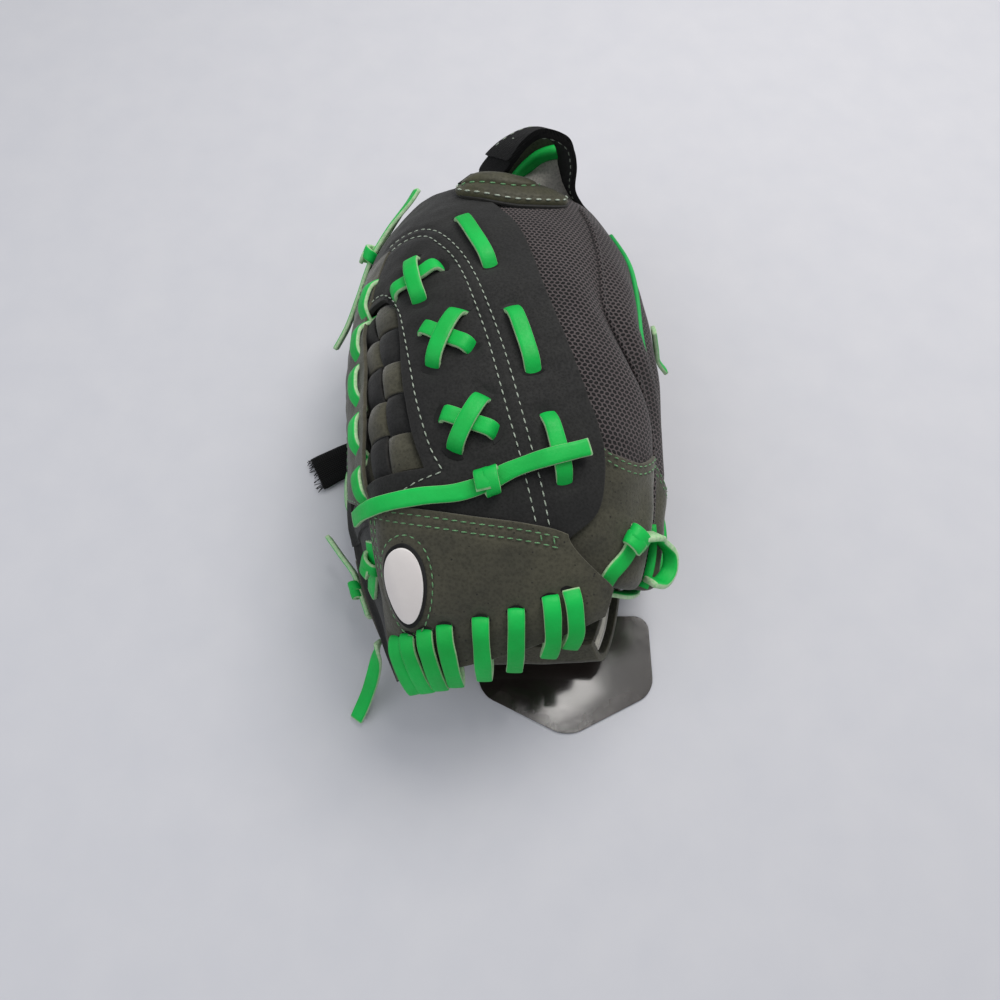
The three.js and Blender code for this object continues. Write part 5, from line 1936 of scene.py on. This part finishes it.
    def build(self, slits: dict[str, list[Slit]]) -> None:
        """Builds the laces and the dark sheets of painted shadow at their holes.

        Args:
            slits: The holes that prepare found.
        """
        for name, (lace, body) in self.laces.items():
            self.bench.piece(lace.build(), name + "_ribbon", Stuff.LACE, body, [name])
        self.bench.piece(self.side_lace.build(), "web_side_lace", Stuff.LACE, Body.FINGERS)
        self.bench.piece(self.heel().build(), "heel_lace_ribbon", Stuff.LACE, Body.FINGERS, ["heel_lace"])
        # A dark lens of painted shadow at each lace hole, on the piece that the hole is in.
        for where, holes in slits.items():
            bm = bmesh.new()
            for slit in holes:
                slit.add(bm)
            bmesh.ops.recalc_face_normals(bm, faces=bm.faces[:])
            body = Body.THUMB if where == "thumb" else Body.FINGERS
            self.bench.piece(bm, where + "_lace_slit_shadows", Stuff.SLIT, body)


@dataclass
class Ties:
    """The knotted ties whose ends lie loose."""

    bench: Bench
    knot_wide: float = 4.4
    knot_tall: float = 2.6

    def lay(self, places: Sequence[Sequence[float]]) -> Ribbon:
        """A lace through places of angle, y and height."""
        stops = []
        for i, here in enumerate(places):
            if i + 1 < len(places):
                to = places[i + 1][:2]
            else:
                to = (2 * here[0] - places[i - 1][0], 2 * here[1] - places[i - 1][1])
            stops.append(FORM.stop(here, to))
        return Ribbon(stops)

    def knot(
        self, name: str, here: Sequence[float], to: Sequence[float], body: Body, size: float = 1.0
    ) -> bpy.types.Object:
        """Builds a knot on a tie.

        Args:
            name: The piece's name.
            here: Angle, y and height of its middle.
            to: Angle and y that the tie heads for.
            body: The body that it rides on.
            size: Its size beside the usual one.

        Returns:
            The knot.
        """
        middle = FORM.at(here[0], here[1], here[2])
        up = FORM.outward(here[0], here[1])
        ahead = unit(FORM.at(to[0], to[1], here[2]) - middle)
        stops = knot_stops(middle, ahead, up, self.knot_wide * size, self.knot_tall * size)
        bm = Ribbon(stops, 5.6 * size, 1.9).build()
        return self.bench.piece(bm, name, Stuff.LACE, body)

    def free(self, name: str, lace: Ribbon, body: Body, knots: Sequence[bpy.types.Object] = ()) -> None:
        """Builds a tie.

        Args:
            name: The node that it stands for.
            lace: The lace.
            body: The body that it rides on.
            knots: The pieces on it; not used.
        """
        piece = self.bench.piece(lace.build(), name + "_lace", Stuff.LACE, body, [name])
        path = lace.path()
        lace.length()

    def tied(
        self,
        name: str,
        places: Sequence[Sequence[float]],
        here: Sequence[float],
        to: Sequence[float],
        body: Body,
        size: float = 1.0,
    ) -> None:
        """Builds a free tie with a knot on it.

        Args:
            name: The node that it stands for.
            places: Angle, y and height of the places that it goes through.
            here: Angle, y and height of the knot.
            to: Angle and y that the tie heads for there.
            body: The body that it rides on.
            size: The knot's size beside the usual one.
        """
        knot = self.knot(name + "_knot", here, to, body, size)
        self.free(name, self.lay(places), body, [knot])

    def build(self) -> None:
        """Builds the ties of the web, of the fingertips and of the thumb."""
        panel, cap, back = LAYERS.on_panel, LAYERS.on_cap, LAYERS.on_back
        lace = panel + 2.7
        web = [
            (66, -43, lace - 0.4), (70, -45, lace), (77, -48, lace), (82, -50, panel + 0.8),
            (88, -53, panel), (93.5, -56.5, panel), (102.6, -59.6, panel + 0.8), (113.5, -60, cap),
            (125, -60.3, cap + 0.2), (135, -60.3, cap + 0.2), (145, -59.5, cap + 0.4),
        ]
        self.tied("web_tie", web, (93.5, -56.5, panel + 1.6), (99, -58.5), Body.FINGERS)
        upper = [
            (137, 98, panel + 1.5), (141, 90, panel), (149, 77, panel), (160, 64, panel),
            (168, 53, panel + 3.5), (173, 45, panel + 8.5),
        ]
        self.tied("upper_tie", upper, (149, 77, panel + 1.6), (154, 71), Body.FINGERS)
        second = [
            (148, 78, panel + 0.4), (140, 87, panel + 0.8), (131, 96, panel + 2.2),
            (128, 100, panel + 4),
        ]
        self.bench.piece(self.lay(second).build(), "upper_tie_second_end", Stuff.LACE, Body.FINGERS)
        thumb = [
            (189, -87, back - 0.3), (189, -76, back - 0.3), (189, -67, back + 0.6),
            (188, -57, back + 5), (187, -47, back + 10),
        ]
        self.tied("thumb_tie", thumb, (189, -74, back + 1.4), (189, -70), Body.THUMB, 0.8)
        side = [(140.5, -70, 3.6), (143, -77, 3.8), (150, -82, 3.0), (160, -85, 2.6)]
        self.bench.piece(self.lay(side).build(), "web_side_tie", Stuff.LACE, Body.FINGERS)
        self.knot("web_side_knot", (144, -78, 5.2), (148, -81), Body.FINGERS, 0.9)
        tail = [
            (46, -70, 4.0), (40, -67.8, 4.6), (31, -66, 4.8), (23.5, -68, 4.8), (21.5, -74, 4.8),
            (25, -80.5, 4.4), (33, -83, 4.0),
        ]
        stops = []
        for (at, _), (d, y, _) in zip(self.lay(tail).stops, tail):
            stops.append((at, -unit(FORM.outward(d, y) + np.array([-0.1, -0.3, 0.0]))))
        self.free("fingertip_lace_tail", Ribbon(stops, thick=2.6), Body.FINGERS)
        self.fingertip()
        end = [(22, 43, back), (16, 40, back + 1.0), (10, 36.5, back + 4.5), (6, 33.5, back + 8)]
        name = "finger_lace_end"
        self.bench.piece(self.lay(end).build(), name + "_lace", Stuff.LACE, Body.FINGERS, [name])
        self.table_tail()

    def fingertip(self) -> None:
        """Builds the lace that holds the fingertips together, with its knot."""
        back = LAYERS.on_back
        ahead = lambda d: float(FORM.fingertip_y(d)) - 2.7
        places = ((46.5, -66.5, back), (49.1, -76.7, back), (54, -84.5, back), (54.5, -91.5, -2.0))
        stops = [FORM.stop(a, b) for a, b in zip(places, [*places[1:], (53, -95, 0)])]
        for d in (48, 38, 27, 14, 0, -12):
            stops.append((FORM.at(d, ahead(d), -8.5), FORM.outward(d, ahead(d))))
        lace = Ribbon(stops)
        self.bench.piece(lace.build(), "fingertip_lace_ribbon", Stuff.LACE, Body.FINGERS, ["fingertip_lace"])
        self.knot("fingertip_lace_knot", (47.6, -71.5, back + 1.8), (50.5, -78), Body.FINGERS)

    def table_tail(self) -> None:
        """Builds the tail at the thumb tip that runs down to the table."""
        side = unit(np.array([-0.75, 0.6, -0.1]))
        stops = [FORM.stop((190, -98, LAYERS.on_back), (190, -99))]
        for p in ((-56, -109, 22), (-61, -119, 9), (-66, -128, 2.1)):
            stops.append((np.array(p, float), side))
        self.free("thumb_tip_tail", Ribbon(stops), Body.THUMB)


@dataclass
class Palm:
    """Leather, felt and lining of both palms."""

    bench: Bench

    def stack(self, suffix: str, place: Place, wall: Callable[[Array], Array], body: Body) -> None:
        """Builds the three layers of one half.

        Args:
            suffix: End of the nodes' names.
            place: Angle and place along for shares.
            wall: Depth of that half.
            body: The body that it rides on.
        """
        bottom = 0.0
        layers = (
            ("palm_leather", 2.2, Stuff.GREY_SUEDE),
            ("palm_felt", 3.6, Stuff.FELT),
            ("palm_lining", 1.2, Stuff.LINING),
        )

        def above(at: float) -> Height:
            """A height that follows that half's palm."""
            return lambda degrees, y: -wall(y) + at

        for name, thick, stuff in layers:
            relief = (lambda p, d, y: 0.3 * ripple(p, 24, 21)) if stuff is Stuff.GREY_SUEDE else None
            bm = shell(sheet(place, above(bottom), above(bottom + thick), relief), 56, 60, 0.4)
            node = name + suffix
            piece = self.bench.piece(bm, node + "_layer", stuff, body, [node])
            bottom += thick + LAYERS.gap

    def build(self) -> None:
        """Builds both halves."""

        def fingers(s: Array, t: Array) -> Spot:
            """Angle and place along of the finger half."""
            degrees = mix(88, -20, s)
            return degrees, mix(110, FORM.fingertip_y(degrees) + 3.2, t)

        self.stack("_fingers", fingers, FORM.finger_wall, Body.FINGERS)
        self.stack("_thumb", panel(180.7, 319, 110, -105.3), FORM.thumb_wall, Body.THUMB)


@dataclass
class Wrist:
    """The padded collar, the strap with its cover, and the tabs that carry it."""

    bench: Bench
    collar_mid: tuple[float, float] = (85.5, 93.0)
    collar_half: tuple[float, float] = (24.0, 9.6)
    roll_mid: tuple[float, float] = (91.0, 96.4)
    roll_half: tuple[float, float] = (16.5, 5.6)
    foot_height: float = -0.9
    end_height: float = 1.75
    foot_bend: tuple[float, float] = (0.02, 0.16)
    arch_near: tuple[tuple[float, float, float], ...] = (
        (35.6, 108, 88), (34.9, 108, 103), (32, 108, 113), (24.9, 108, 118.4), (18.2, 108, 119.4),
        (12.1, 108, 114.5), (6.5, 108, 105.5), (1.4, 108, 97.5),
    )
    arch_far: tuple[tuple[float, float, float], ...] = (
        (30.7, 127, 75), (29.4, 127, 88), (27, 127, 98.5), (21.5, 127, 103.8), (13.7, 127, 104.4),
        (3.8, 127, 99.3), (-4.4, 127, 91.5), (-9.4, 126.5, 84),
    )

    def out(self, degrees: Array, y: Array, mid: Sequence[float], half: Sequence[float]) -> Array:
        """How far out a place lies on an oval.

        Args:
            degrees: Its angle.
            y: Its place along.
            mid: The oval's middle.
            half: Half its width and length.

        Returns:
            0 in the oval's middle and 1 at its rim.
        """
        return np.minimum(np.hypot((degrees - mid[0]) / half[0], (y - mid[1]) / half[1]), 1.0)

    def pad_low(self, degrees: Array, y: Array) -> Array:
        """Underside of the collar: on the mesh, and on the web panel beside it."""
        return 0.4 + 2.7 * smooth((degrees - 80) / 22)

    def pad_top(self, degrees: Array, y: Array) -> Array:
        """Upper side of the collar, pressed in along its rim seam."""
        out = self.out(degrees, y, self.collar_mid, self.collar_half)
        seam = -0.6 * np.exp(-(((out - 0.88) / 0.05) ** 2))
        return self.pad_low(degrees, y) + 1.7 + 3.6 * np.sqrt(np.maximum(0, 1 - out**2)) + seam

    def roll_top(self, degrees: Array, y: Array) -> Array:
        """Upper side of the smaller roll on the collar."""
        out = self.out(degrees, y, self.roll_mid, self.roll_half)
        return self.pad_top(degrees, y) + 0.3 + 2.6 * np.sqrt(np.maximum(0, 1 - out**2))

    def collar(self) -> None:
        """Builds the padded collar, a black sheet of painted shadow under its rim, the smaller roll on it and
        their stitching.
        """
        relief = lambda p, d, y: 0.12 * ripple(p, 13, 51)
        place = oval(*self.collar_mid, *self.collar_half)
        bm = shell(sheet(place, self.pad_low, self.pad_top, relief), 60, 36, 0.5)
        piece = self.bench.piece(bm, "wrist_collar_pad", Stuff.OLIVE_LEATHER, Body.FINGERS, ["wrist_collar"])
        (mid_deg, mid_y), (half_deg, half_y) = self.collar_mid, self.collar_half
        # A black sheet a little larger than the pad, just above the mesh: painted shadow under the collar's
        # rim.
        place = oval(mid_deg - 0.6, mid_y, half_deg, half_y * 1.16)
        under = sheet(place, lambda d, y: self.pad_low(d, y) - 0.5, lambda d, y: self.pad_low(d, y) + 0.6)
        self.bench.piece(shell(under, 50, 20, 0.4), "wrist_collar_shadow_edge", Stuff.BLACK_LEATHER, Body.FINGERS)
        place = oval(*self.roll_mid, *self.roll_half)
        low = lambda d, y: self.pad_top(d, y) - 1.0
        bm = shell(sheet(place, low, self.roll_top, relief), 50, 26, 0.4)
        piece = self.bench.piece(bm, "wrist_collar_roll", Stuff.OLIVE_LEATHER, Body.FINGERS)
        rows = (
            (self.collar_mid, self.collar_half, 0.965, Stuff.PALE_THREAD, "wrist_collar_seam", 1.1),
            (self.roll_mid, self.roll_half, 1.06, Stuff.GREEN_THREAD, "wrist_collar_roll_seam", 0.7),
        )
        for mid, half, share, stuff, name, wide in rows:
            ring = []
            for a in np.linspace(math.pi * 0.92, math.pi * 2.08, 40):
                across, along = share * half[0] * math.cos(a), share * half[1] * math.sin(a)
                ring.append((mid[0] + across, mid[1] + along))
            route = Route(ring, lambda d, y: self.pad_top(d, y) + 0.3)
            self.bench.sew(name, stuff, Body.FINGERS, [Seam(route, 4.6, 3.1, wide, 0.8)])

    def heel_rim(self) -> None:
        """Builds the heel's lip behind the hand opening: suede, a rolled lace on its rim and the lining."""
        side = np.array([0.0, 1.0, 0.0])
        run = [
            (6, 129, 70.5), (9.6, 129, 77.2), (14, 129, 83.3), (19, 129, 88.6), (24, 129, 91.2),
            (28.5, 129, 91.8),
        ]
        stops = [(np.array(p, float), side) for p in (*run, (31.5, 129, 89.8))]
        lace = Ribbon(stops, 6.8, 6.8, Section.ROUND, 1.0)
        self.bench.piece(lace.build(), "heel_rim_lace", Stuff.LACE, Body.FINGERS)
        outer = [
            (-3, 131, 70), (1, 131, 79), (7, 132, 88), (15, 132.5, 95), (24, 132.5, 98), (31, 132, 96),
            (36, 130, 89),
        ]
        inner = [(x + 1, 130.5, z - 1) for x, _, z in (*run, (32.5, 129, 88.5))]
        palm = [FORM.at(d, 104.0, -8.0) for d in np.linspace(99, 40, 7)]
        self.lip("heel_lip_suede", outer, inner, 0.5, Stuff.GREY_SUEDE)
        self.lip("heel_lip_lining", inner, palm, 4.0, Stuff.LINING)

    def lip(self, name: str, rim: Sequence, foot: Sequence, sag: float, stuff: Stuff) -> None:
        """Builds a sheet that sweeps from one line down to another.

        Args:
            name: The piece's name.
            rim: Points of its upper line.
            foot: Points of its lower line.
            sag: How far it is hollowed between them.
            stuff: Its finish.
        """
        lines = [catmull(np.array(points, float), 12) for points in (rim, foot)]
        thick = 1.3

        def points(s: Array, t: Array, layer: Array) -> Array:
            """Points from the rim to the foot, with a hollow between."""
            upper, lower = (part_way(line, s) for line in lines)
            hollow = sag * np.sin(math.pi * t)
            p = mix(upper, lower, t[:, None]) + np.stack([0 * s, hollow, -0.8 * hollow], -1)
            p[:, 1] += thick * layer * (1 - t)
            p[:, 2] -= thick * layer
            return p

        self.bench.piece(shell(points, 36, 24, 0.5), name, stuff, Body.FINGERS)

    def strap_edges(self) -> tuple[Array, Array]:
        """The strap's near and far edge, from its sewn foot over the arch to its loose end."""

        def line(foot: Sequence, arch: Sequence, end: Sequence) -> Array:
            """A line from its foot on one tab, over the arch, to its end on the other tab."""
            start = [FORM.at(d, y, self.foot_height) for d, y in foot]
            stop = [FORM.at(d, y, self.end_height) for d, y in end]
            return catmull(np.array([*start, *arch, *stop], float), 16)

        near = line(((22, 115), (34, 113.5), (46, 110)), self.arch_near, ((102, 108), (113, 108)))
        far = line(((22, 125), (34, 125), (46, 126)), self.arch_far, ((106, 125.5), (113, 125)))
        return near, far

    def strap_at(self, along: Array, across: Array, height: Array) -> tuple[Array, Array]:
        """Points on the strap and the way out of it.

        Args:
            along: Shares from its foot to its loose end.
            across: Shares from its near edge to its far edge.
            height: Heights above its middle.

        Returns:
            The points, and a direction for each.
        """
        edges = self.strap_edges()
        a, b = (part_way(edge, along) for edge in edges)
        share = np.asarray(across, float)[..., None]
        before, after = ([part_way(edge, along + step) for edge in edges] for step in (-0.01, 0.01))
        ahead = mix(after[0] - before[0], after[1] - before[1], share)
        out = unit(np.cross(b - a, ahead))
        return mix(a, b, share) + out * np.asarray(height, float)[..., None], out

    def band(self, name: str, span: tuple[float, float], low: float, high: float, across: int) -> None:
        """Builds one layer of the strap.

        Args:
            name: The node that it stands for.
            span: Shares along the strap where it starts and ends.
            low: Height of its underside.
            high: Height of its upper side.
            across: Faces along the strap.
        """

        def points(s: Array, t: Array, layer: Array) -> Array:
            """Points of the layer."""
            along = mix(span[0], span[1], s)
            top = mix(low, high, smooth((along - span[0]) / 0.08)) if span[0] > 0 else high
            return self.strap_at(along, t, mix(top, low, layer))[0]

        sewn = span[0] == 0
        body = None if sewn else Body.STRAP
        piece = self.bench.piece(shell(points, across, 14, 0.6), name + "_band", Stuff.WEBBING, body, [name])
        if sewn:
            shares = np.array(self.foot_bend)
            foot, bent = self.strap_at(shares, np.full(2, 0.5), np.zeros(2))[0] * MM
            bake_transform(piece)

    def strap_seams(self) -> None:
        """Sews a row along the strap's near edge, on its inner side, and a short one on its cover."""
        rows = []
        for along, across, height in (
            (np.linspace(0.2, 0.7, 120), (0.12, 0.12), -1.25),
            (np.linspace(0.56, 0.72, 40), (0.9, 0.9), 2.9),
            (np.full(9, 0.665), (0.42, 0.62), 2.9),
        ):
            count = len(along)
            route = Route.through(*self.strap_at(along, np.linspace(*across, count), np.full(count, height)))
            rows.append(Seam(route, 3.8, 2.6, 0.6, 0.5))
        self.bench.sew("strap_seams", Stuff.PALE_THREAD, Body.STRAP, rows)

    def build(self) -> None:
        """Builds all of it."""
        self.collar()
        self.heel_rim()
        self.band("wrist_strap", (0.0, 1.0), -1.1, 1.0, 120)
        self.band("strap_cover", (0.38, 0.76), 0.7, 2.8, 70)
        self.strap_seams()
        tabs = (
            ("strap_anchor_tab", panel(10, 42, 90.5, 123), -4.2, -2.05),
            ("strap_landing_tab", panel(113, 142, 86, 123), -2.75, -0.55),
        )
        for name, place, low, high in tabs:
            bm = shell(sheet(place, low, high), 26, 26, 0.6)
            self.bench.piece(bm, name + "_leather", Stuff.BLACK_LEATHER, Body.FINGERS, [name])


@dataclass
class Thumb:
    """The thumb's back and tip, its walls and its pull tab."""

    bench: Bench
    hinge: float = 180.7
    edge: float = 319.0
    cap_y: float = -62.0
    tip_y: float = -108.0

    def back(self, slits: Sequence[Slit]) -> None:
        """Builds the thumb's back."""

        def relief(p: Array, degrees: Array, y: Array) -> Array:
            """Soft swell, and dents at the lace holes; flat where it lies on the table."""
            return (0.3 * ripple(p, 30, 61) - 0.3) * smooth(p[:, 2] / 8) + dents(slits, degrees, y)

        place = panel(self.hinge, self.edge, 110, self.cap_y + 0.5)
        bm = shell(sheet(place, -2.2, 0.0, relief), 120, 110, 0.6)
        self.bench.piece(bm, "thumb_back_leather", Stuff.BLACK_LEATHER, Body.THUMB, ["thumb_back"])

    def tip(self) -> None:
        """Builds the suede thumb tip."""

        def points(s: Array, t: Array, layer: Array) -> Array:
            """Points along the back, round the end and down to the palm."""
            inner = LAYERS.leather * layer
            tip = np.full_like(s, self.tip_y) + inner
            y, h, _, down = fold_over(t, self.cap_y, tip, FORM.thumb_wall(tip), inner, 0.6)
            degrees = mix(self.hinge, self.edge, s)
            p = FORM.at(degrees, y, h)
            return FORM.at(degrees, y, h + 0.35 * ripple(p, 19, 71) * smooth(p[:, 2] / 8) * (1 - down))

        bm = shell(points, 84, 56, 0.6)
        self.bench.piece(bm, "thumb_tip_suede", Stuff.GREY_SUEDE, Body.THUMB, ["thumb_tip"])
        rows = []
        for inset in (2.0, 5.0):
            places = [(d, self.cap_y - inset) for d in np.linspace(183, 316, 40)]
            rows.append(Seam(Route(places, 0.05), 3.4, 2.5))
        self.bench.sew("thumb_tip_seams", Stuff.GREEN_THREAD, Body.THUMB, rows)

    def wall(self, name: str, degrees: float) -> None:
        """Builds a side wall of the thumb's stall."""
        points = standing(degrees, (106, self.tip_y + 6), FORM.thumb_wall)
        self.bench.piece(shell(points, 8, 50, 0.4), name + "_skin", Stuff.GREY_SUEDE, Body.THUMB, [name])

    def pull_tab(self) -> None:
        """Builds the woven pull tab with its frayed end."""
        side = unit(np.array([-0.42, 0.9, 0.0]))
        stops = [(FORM.at(d, 9, 1.25), np.array([0.0, 1.0, 0.0])) for d in (229, 221)]
        stops += [(np.array(p), side) for p in ((-72, 7.5, 4.5), (-84, 3, 4.0), (-96, -3, 2.4))]
        tab = Ribbon(stops, 19, 1.4)
        self.bench.piece(tab.build(), "thumb_pull_tab_band", Stuff.WEBBING, Body.THUMB, ["thumb_pull_tab"])
        dice = random.Random(5)
        end, ahead = stops[-1][0], unit(stops[-1][0] - stops[-2][0])
        bm = bmesh.new()
        for _ in range(30):
            root = end + side * dice.uniform(-9.3, 9.3) + np.array([0, 0, dice.uniform(-0.4, 0.4)])
            tip = root + ahead * dice.uniform(1.2, 3.6) + side * dice.uniform(-1.0, 1.0)
            tip[2] = max(0.4, tip[2] - dice.uniform(0, 0.8))
            points = (root - ahead * 1.5, root + ahead * 0.4, tip)
            Ribbon([(p, side) for p in points], 0.36, 0.36, Section.ROUND, 1.0).build(bm)
        self.bench.piece(bm, "thumb_pull_tab_fray", Stuff.WEBBING, Body.THUMB)

    def build(self, slits: Sequence[Slit]) -> None:
        """Builds all of it.

        Args:
            slits: The lace holes that dent the thumb's back.
        """
        self.back(slits)
        self.tip()
        self.wall("thumb_web_side_wall", self.hinge + 2.6)
        self.wall("thumb_edge_side_wall", THUMB_LACE_DEG - 6.6)
        self.pull_tab()


@dataclass
class Crease:
    """The soft leather that joins the two halves along the hinge."""

    bench: Bench

    def build(self) -> None:
        """Builds it."""
        place = panel(172.5, 187.5, 84, -104)
        relief = lambda p, d, y: 0.3 * ripple(p, 12, 81)
        soft = lambda d, y: mix(-0.6, -3.4, smooth((d - 176) / 8))
        bm = shell(sheet(place, lambda d, y: soft(d, y) - 1.6, soft, relief), 24, 110, 0.5)
        piece = self.bench.piece(bm, "hinge_crease", Stuff.GREY_SUEDE, None)
        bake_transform(piece)


@dataclass
class Tag:
    """The plain hang tag and its loop."""

    bench: Bench
    x: float = 31.0
    wide: float = 82.0
    top_y: float = -79.0
    shoulder_y: float = -116.0
    tip_y: float = -136.0
    lift: float = 0.25
    thick: float = 0.6
    hole_y: float = -85.0
    hole: float = 1.6
    corner: float = 7.0

    def card(self) -> None:
        """Builds the card with rounded corners and a hole."""
        bm = bmesh.new()
        rim = bm.verts.layers.float.new("rim")
        half = self.wide / 2
        corners = (
            (-half, self.top_y), (-half, self.shoulder_y), (0, self.tip_y), (half, self.shoulder_y),
            (half, self.top_y),
        )
        outline = [bm.verts.new(((self.x + x) * MM, y * MM, self.lift * MM)) for x, y in corners]
        bm.faces.new(outline)
        bmesh.ops.bevel(
            bm,
            geom=outline,
            offset=self.corner * MM,
            affect="VERTICES",
            segments=6,
            profile=0.5,
            material=-1,
            clamp_overlap=True,
        )
        bmesh.ops.delete(bm, geom=bm.faces[:], context="FACES_ONLY")
        ring = Matrix.Translation((self.x * MM, self.hole_y * MM, self.lift * MM))
        bmesh.ops.create_circle(bm, segments=18, radius=self.hole * MM, matrix=ring)
        bmesh.ops.triangle_fill(bm, use_beauty=True, edges=bm.edges[:])
        inside = [e for e in bm.edges if not e.is_boundary]
        bmesh.ops.subdivide_edges(bm, edges=inside, cuts=3, use_grid_fill=True)
        made = bmesh.ops.extrude_face_region(bm, geom=bm.faces[:], use_keep_orig=True)["geom"]
        upper = [v for v in made if isinstance(v, bmesh.types.BMVert)]
        bmesh.ops.translate(bm, verts=upper, vec=(0, 0, self.thick * MM))
        for v in bm.verts:
            joined = [e for e in v.link_edges if len(e.link_faces) == 2]
            v[rim] = float(any(e.calc_face_angle(0.0) > SHARP for e in joined))
        bmesh.ops.recalc_face_normals(bm, faces=bm.faces[:])
        sharp = [e for e in bm.edges if e.calc_face_angle(0.0) > SHARP]
        bmesh.ops.bevel(
            bm, geom=sharp, offset=0.15 * MM, affect="EDGES", segments=1, profile=0.5, material=-1
        )
        self.bench.piece(bm, "hang_tag_card", Stuff.CARD, Body.TAG, ["hang_tag"], smooth_shaded=False)

    def loop(self) -> None:
        """Builds the thin loop."""
        top = FORM.at(300, self.hole_y + 1, 1.35)
        side = np.array([1.0, 0.0, 0.0])
        rises = ((0, 0.25), (0, 2.25), (0.5, top[2] - 2))
        points = [(self.x, self.hole_y + shift, z) for shift, z in rises]
        stops = [(np.array(p), side) for p in (*points, top)]
        bm = Ribbon(stops, 1.6, 1.6, Section.ROUND, 0.8).build()
        self.bench.piece(bm, "tag_loop_cord", Stuff.PIPING, Body.THUMB, ["tag_loop"])

    def build(self) -> None:
        """Builds all of it."""
        self.card()
        self.loop()


@dataclass
class Studio:
    """Camera, soft light and a plain pale floor."""

    eye: tuple[float, float, float] = (0.0, -0.180, 0.367)
    tilt: float = 24.0
    lens: float = 27.72

    def camera(self) -> None:
        """Sets the camera at the photograph's viewing angle."""
        data = bpy.data.cameras.new("camera")
        data.lens, data.sensor_width = self.lens, 36.0
        data.clip_start, data.clip_end = 0.01, 20.0
        camera = bpy.data.objects.new("camera", data)
        camera.location = self.eye
        camera.rotation_euler = (math.radians(self.tilt), 0, 0)
        bpy.context.scene.collection.objects.link(camera)
        bpy.context.scene.camera = camera

    def light(
        self, name: str, place: Sequence[float], size: float, power: float, color: Sequence[float]
    ) -> None:
        """Adds a soft square light aimed at the glove.

        Args:
            name: The light's name.
            place: Where it hangs, in metres.
            size: Its side in metres.
            power: Its power in watts.
            color: Its colour.
        """
        data = bpy.data.lights.new(name, "AREA")
        data.size, data.energy, data.color = size, power, color
        lamp = bpy.data.objects.new(name, data)
        lamp.location = place
        lamp.rotation_euler = (Vector((0, 0, 0.04)) - Vector(place)).to_track_quat("-Z", "Y").to_euler()
        bpy.context.scene.collection.objects.link(lamp)

    def floor(self) -> None:
        """Adds the floor."""
        bm = bmesh.new()
        bmesh.ops.create_grid(bm, x_segments=1, y_segments=1, size=3.0)
        bmesh.ops.translate(bm, verts=bm.verts[:], vec=(0, 0, -0.0003))
        data = bpy.data.meshes.new("floor")
        bm.to_mesh(data)
        bm.free()
        f = Finish("pale_floor", 0.9)
        cloth = f.nodes.add("TexNoise", {"Vector": f.vector, "Scale": 40.0, "Detail": 6.0})
        f.colour(f.nodes.blend(cloth.outputs[0], srgb(196, 197, 204), srgb(205, 205, 210)))
        data.materials.append(f.material)
        floor = bpy.data.objects.new("floor", data)
        bpy.context.scene.collection.objects.link(floor)

    def build(self) -> None:
        """Sets up all of it."""
        scene = bpy.context.scene
        scene.view_settings.view_transform = "Standard"
        world = bpy.data.worlds.new("studio")
        world.use_nodes = True
        world.node_tree.nodes["Background"].inputs[0].default_value = (0.93, 0.96, 1.0, 1.0)
        world.node_tree.nodes["Background"].inputs[1].default_value = 0.44
        scene.world = world
        self.light("key", (0.35, 0.5, 0.95), 0.6, 8.0, (1.0, 0.97, 0.93))
        self.light("glare", (0.1, 0.06, 0.9), 0.1, 0.5, (1.0, 0.98, 0.95))
        self.light("fill", (-0.6, -0.35, 0.8), 0.9, 2.6, (0.95, 0.97, 1.0))
        self.floor()


def main() -> None:
    """Builds the glove's sub-assemblies in order."""
    logging.basicConfig(level=logging.INFO, format="%(name)s %(message)s")
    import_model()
    studio = Studio()
    studio.camera()
    bench = Bench(Wardrobe())
    Ties(bench).build()
    lacing = Lacing(bench)
    slits = lacing.prepare()
    lacing.build(slits)
    Fingers(bench).build(slits["panel"])
    Web(bench).build(slits["panel"], slits["cap"])
    Palm(bench).build()
    Wrist(bench).build()
    Thumb(bench).build(slits["thumb"])
    Crease(bench).build()
    Tag(bench).build()
    studio.build()


if __name__ == "__main__":
    main()
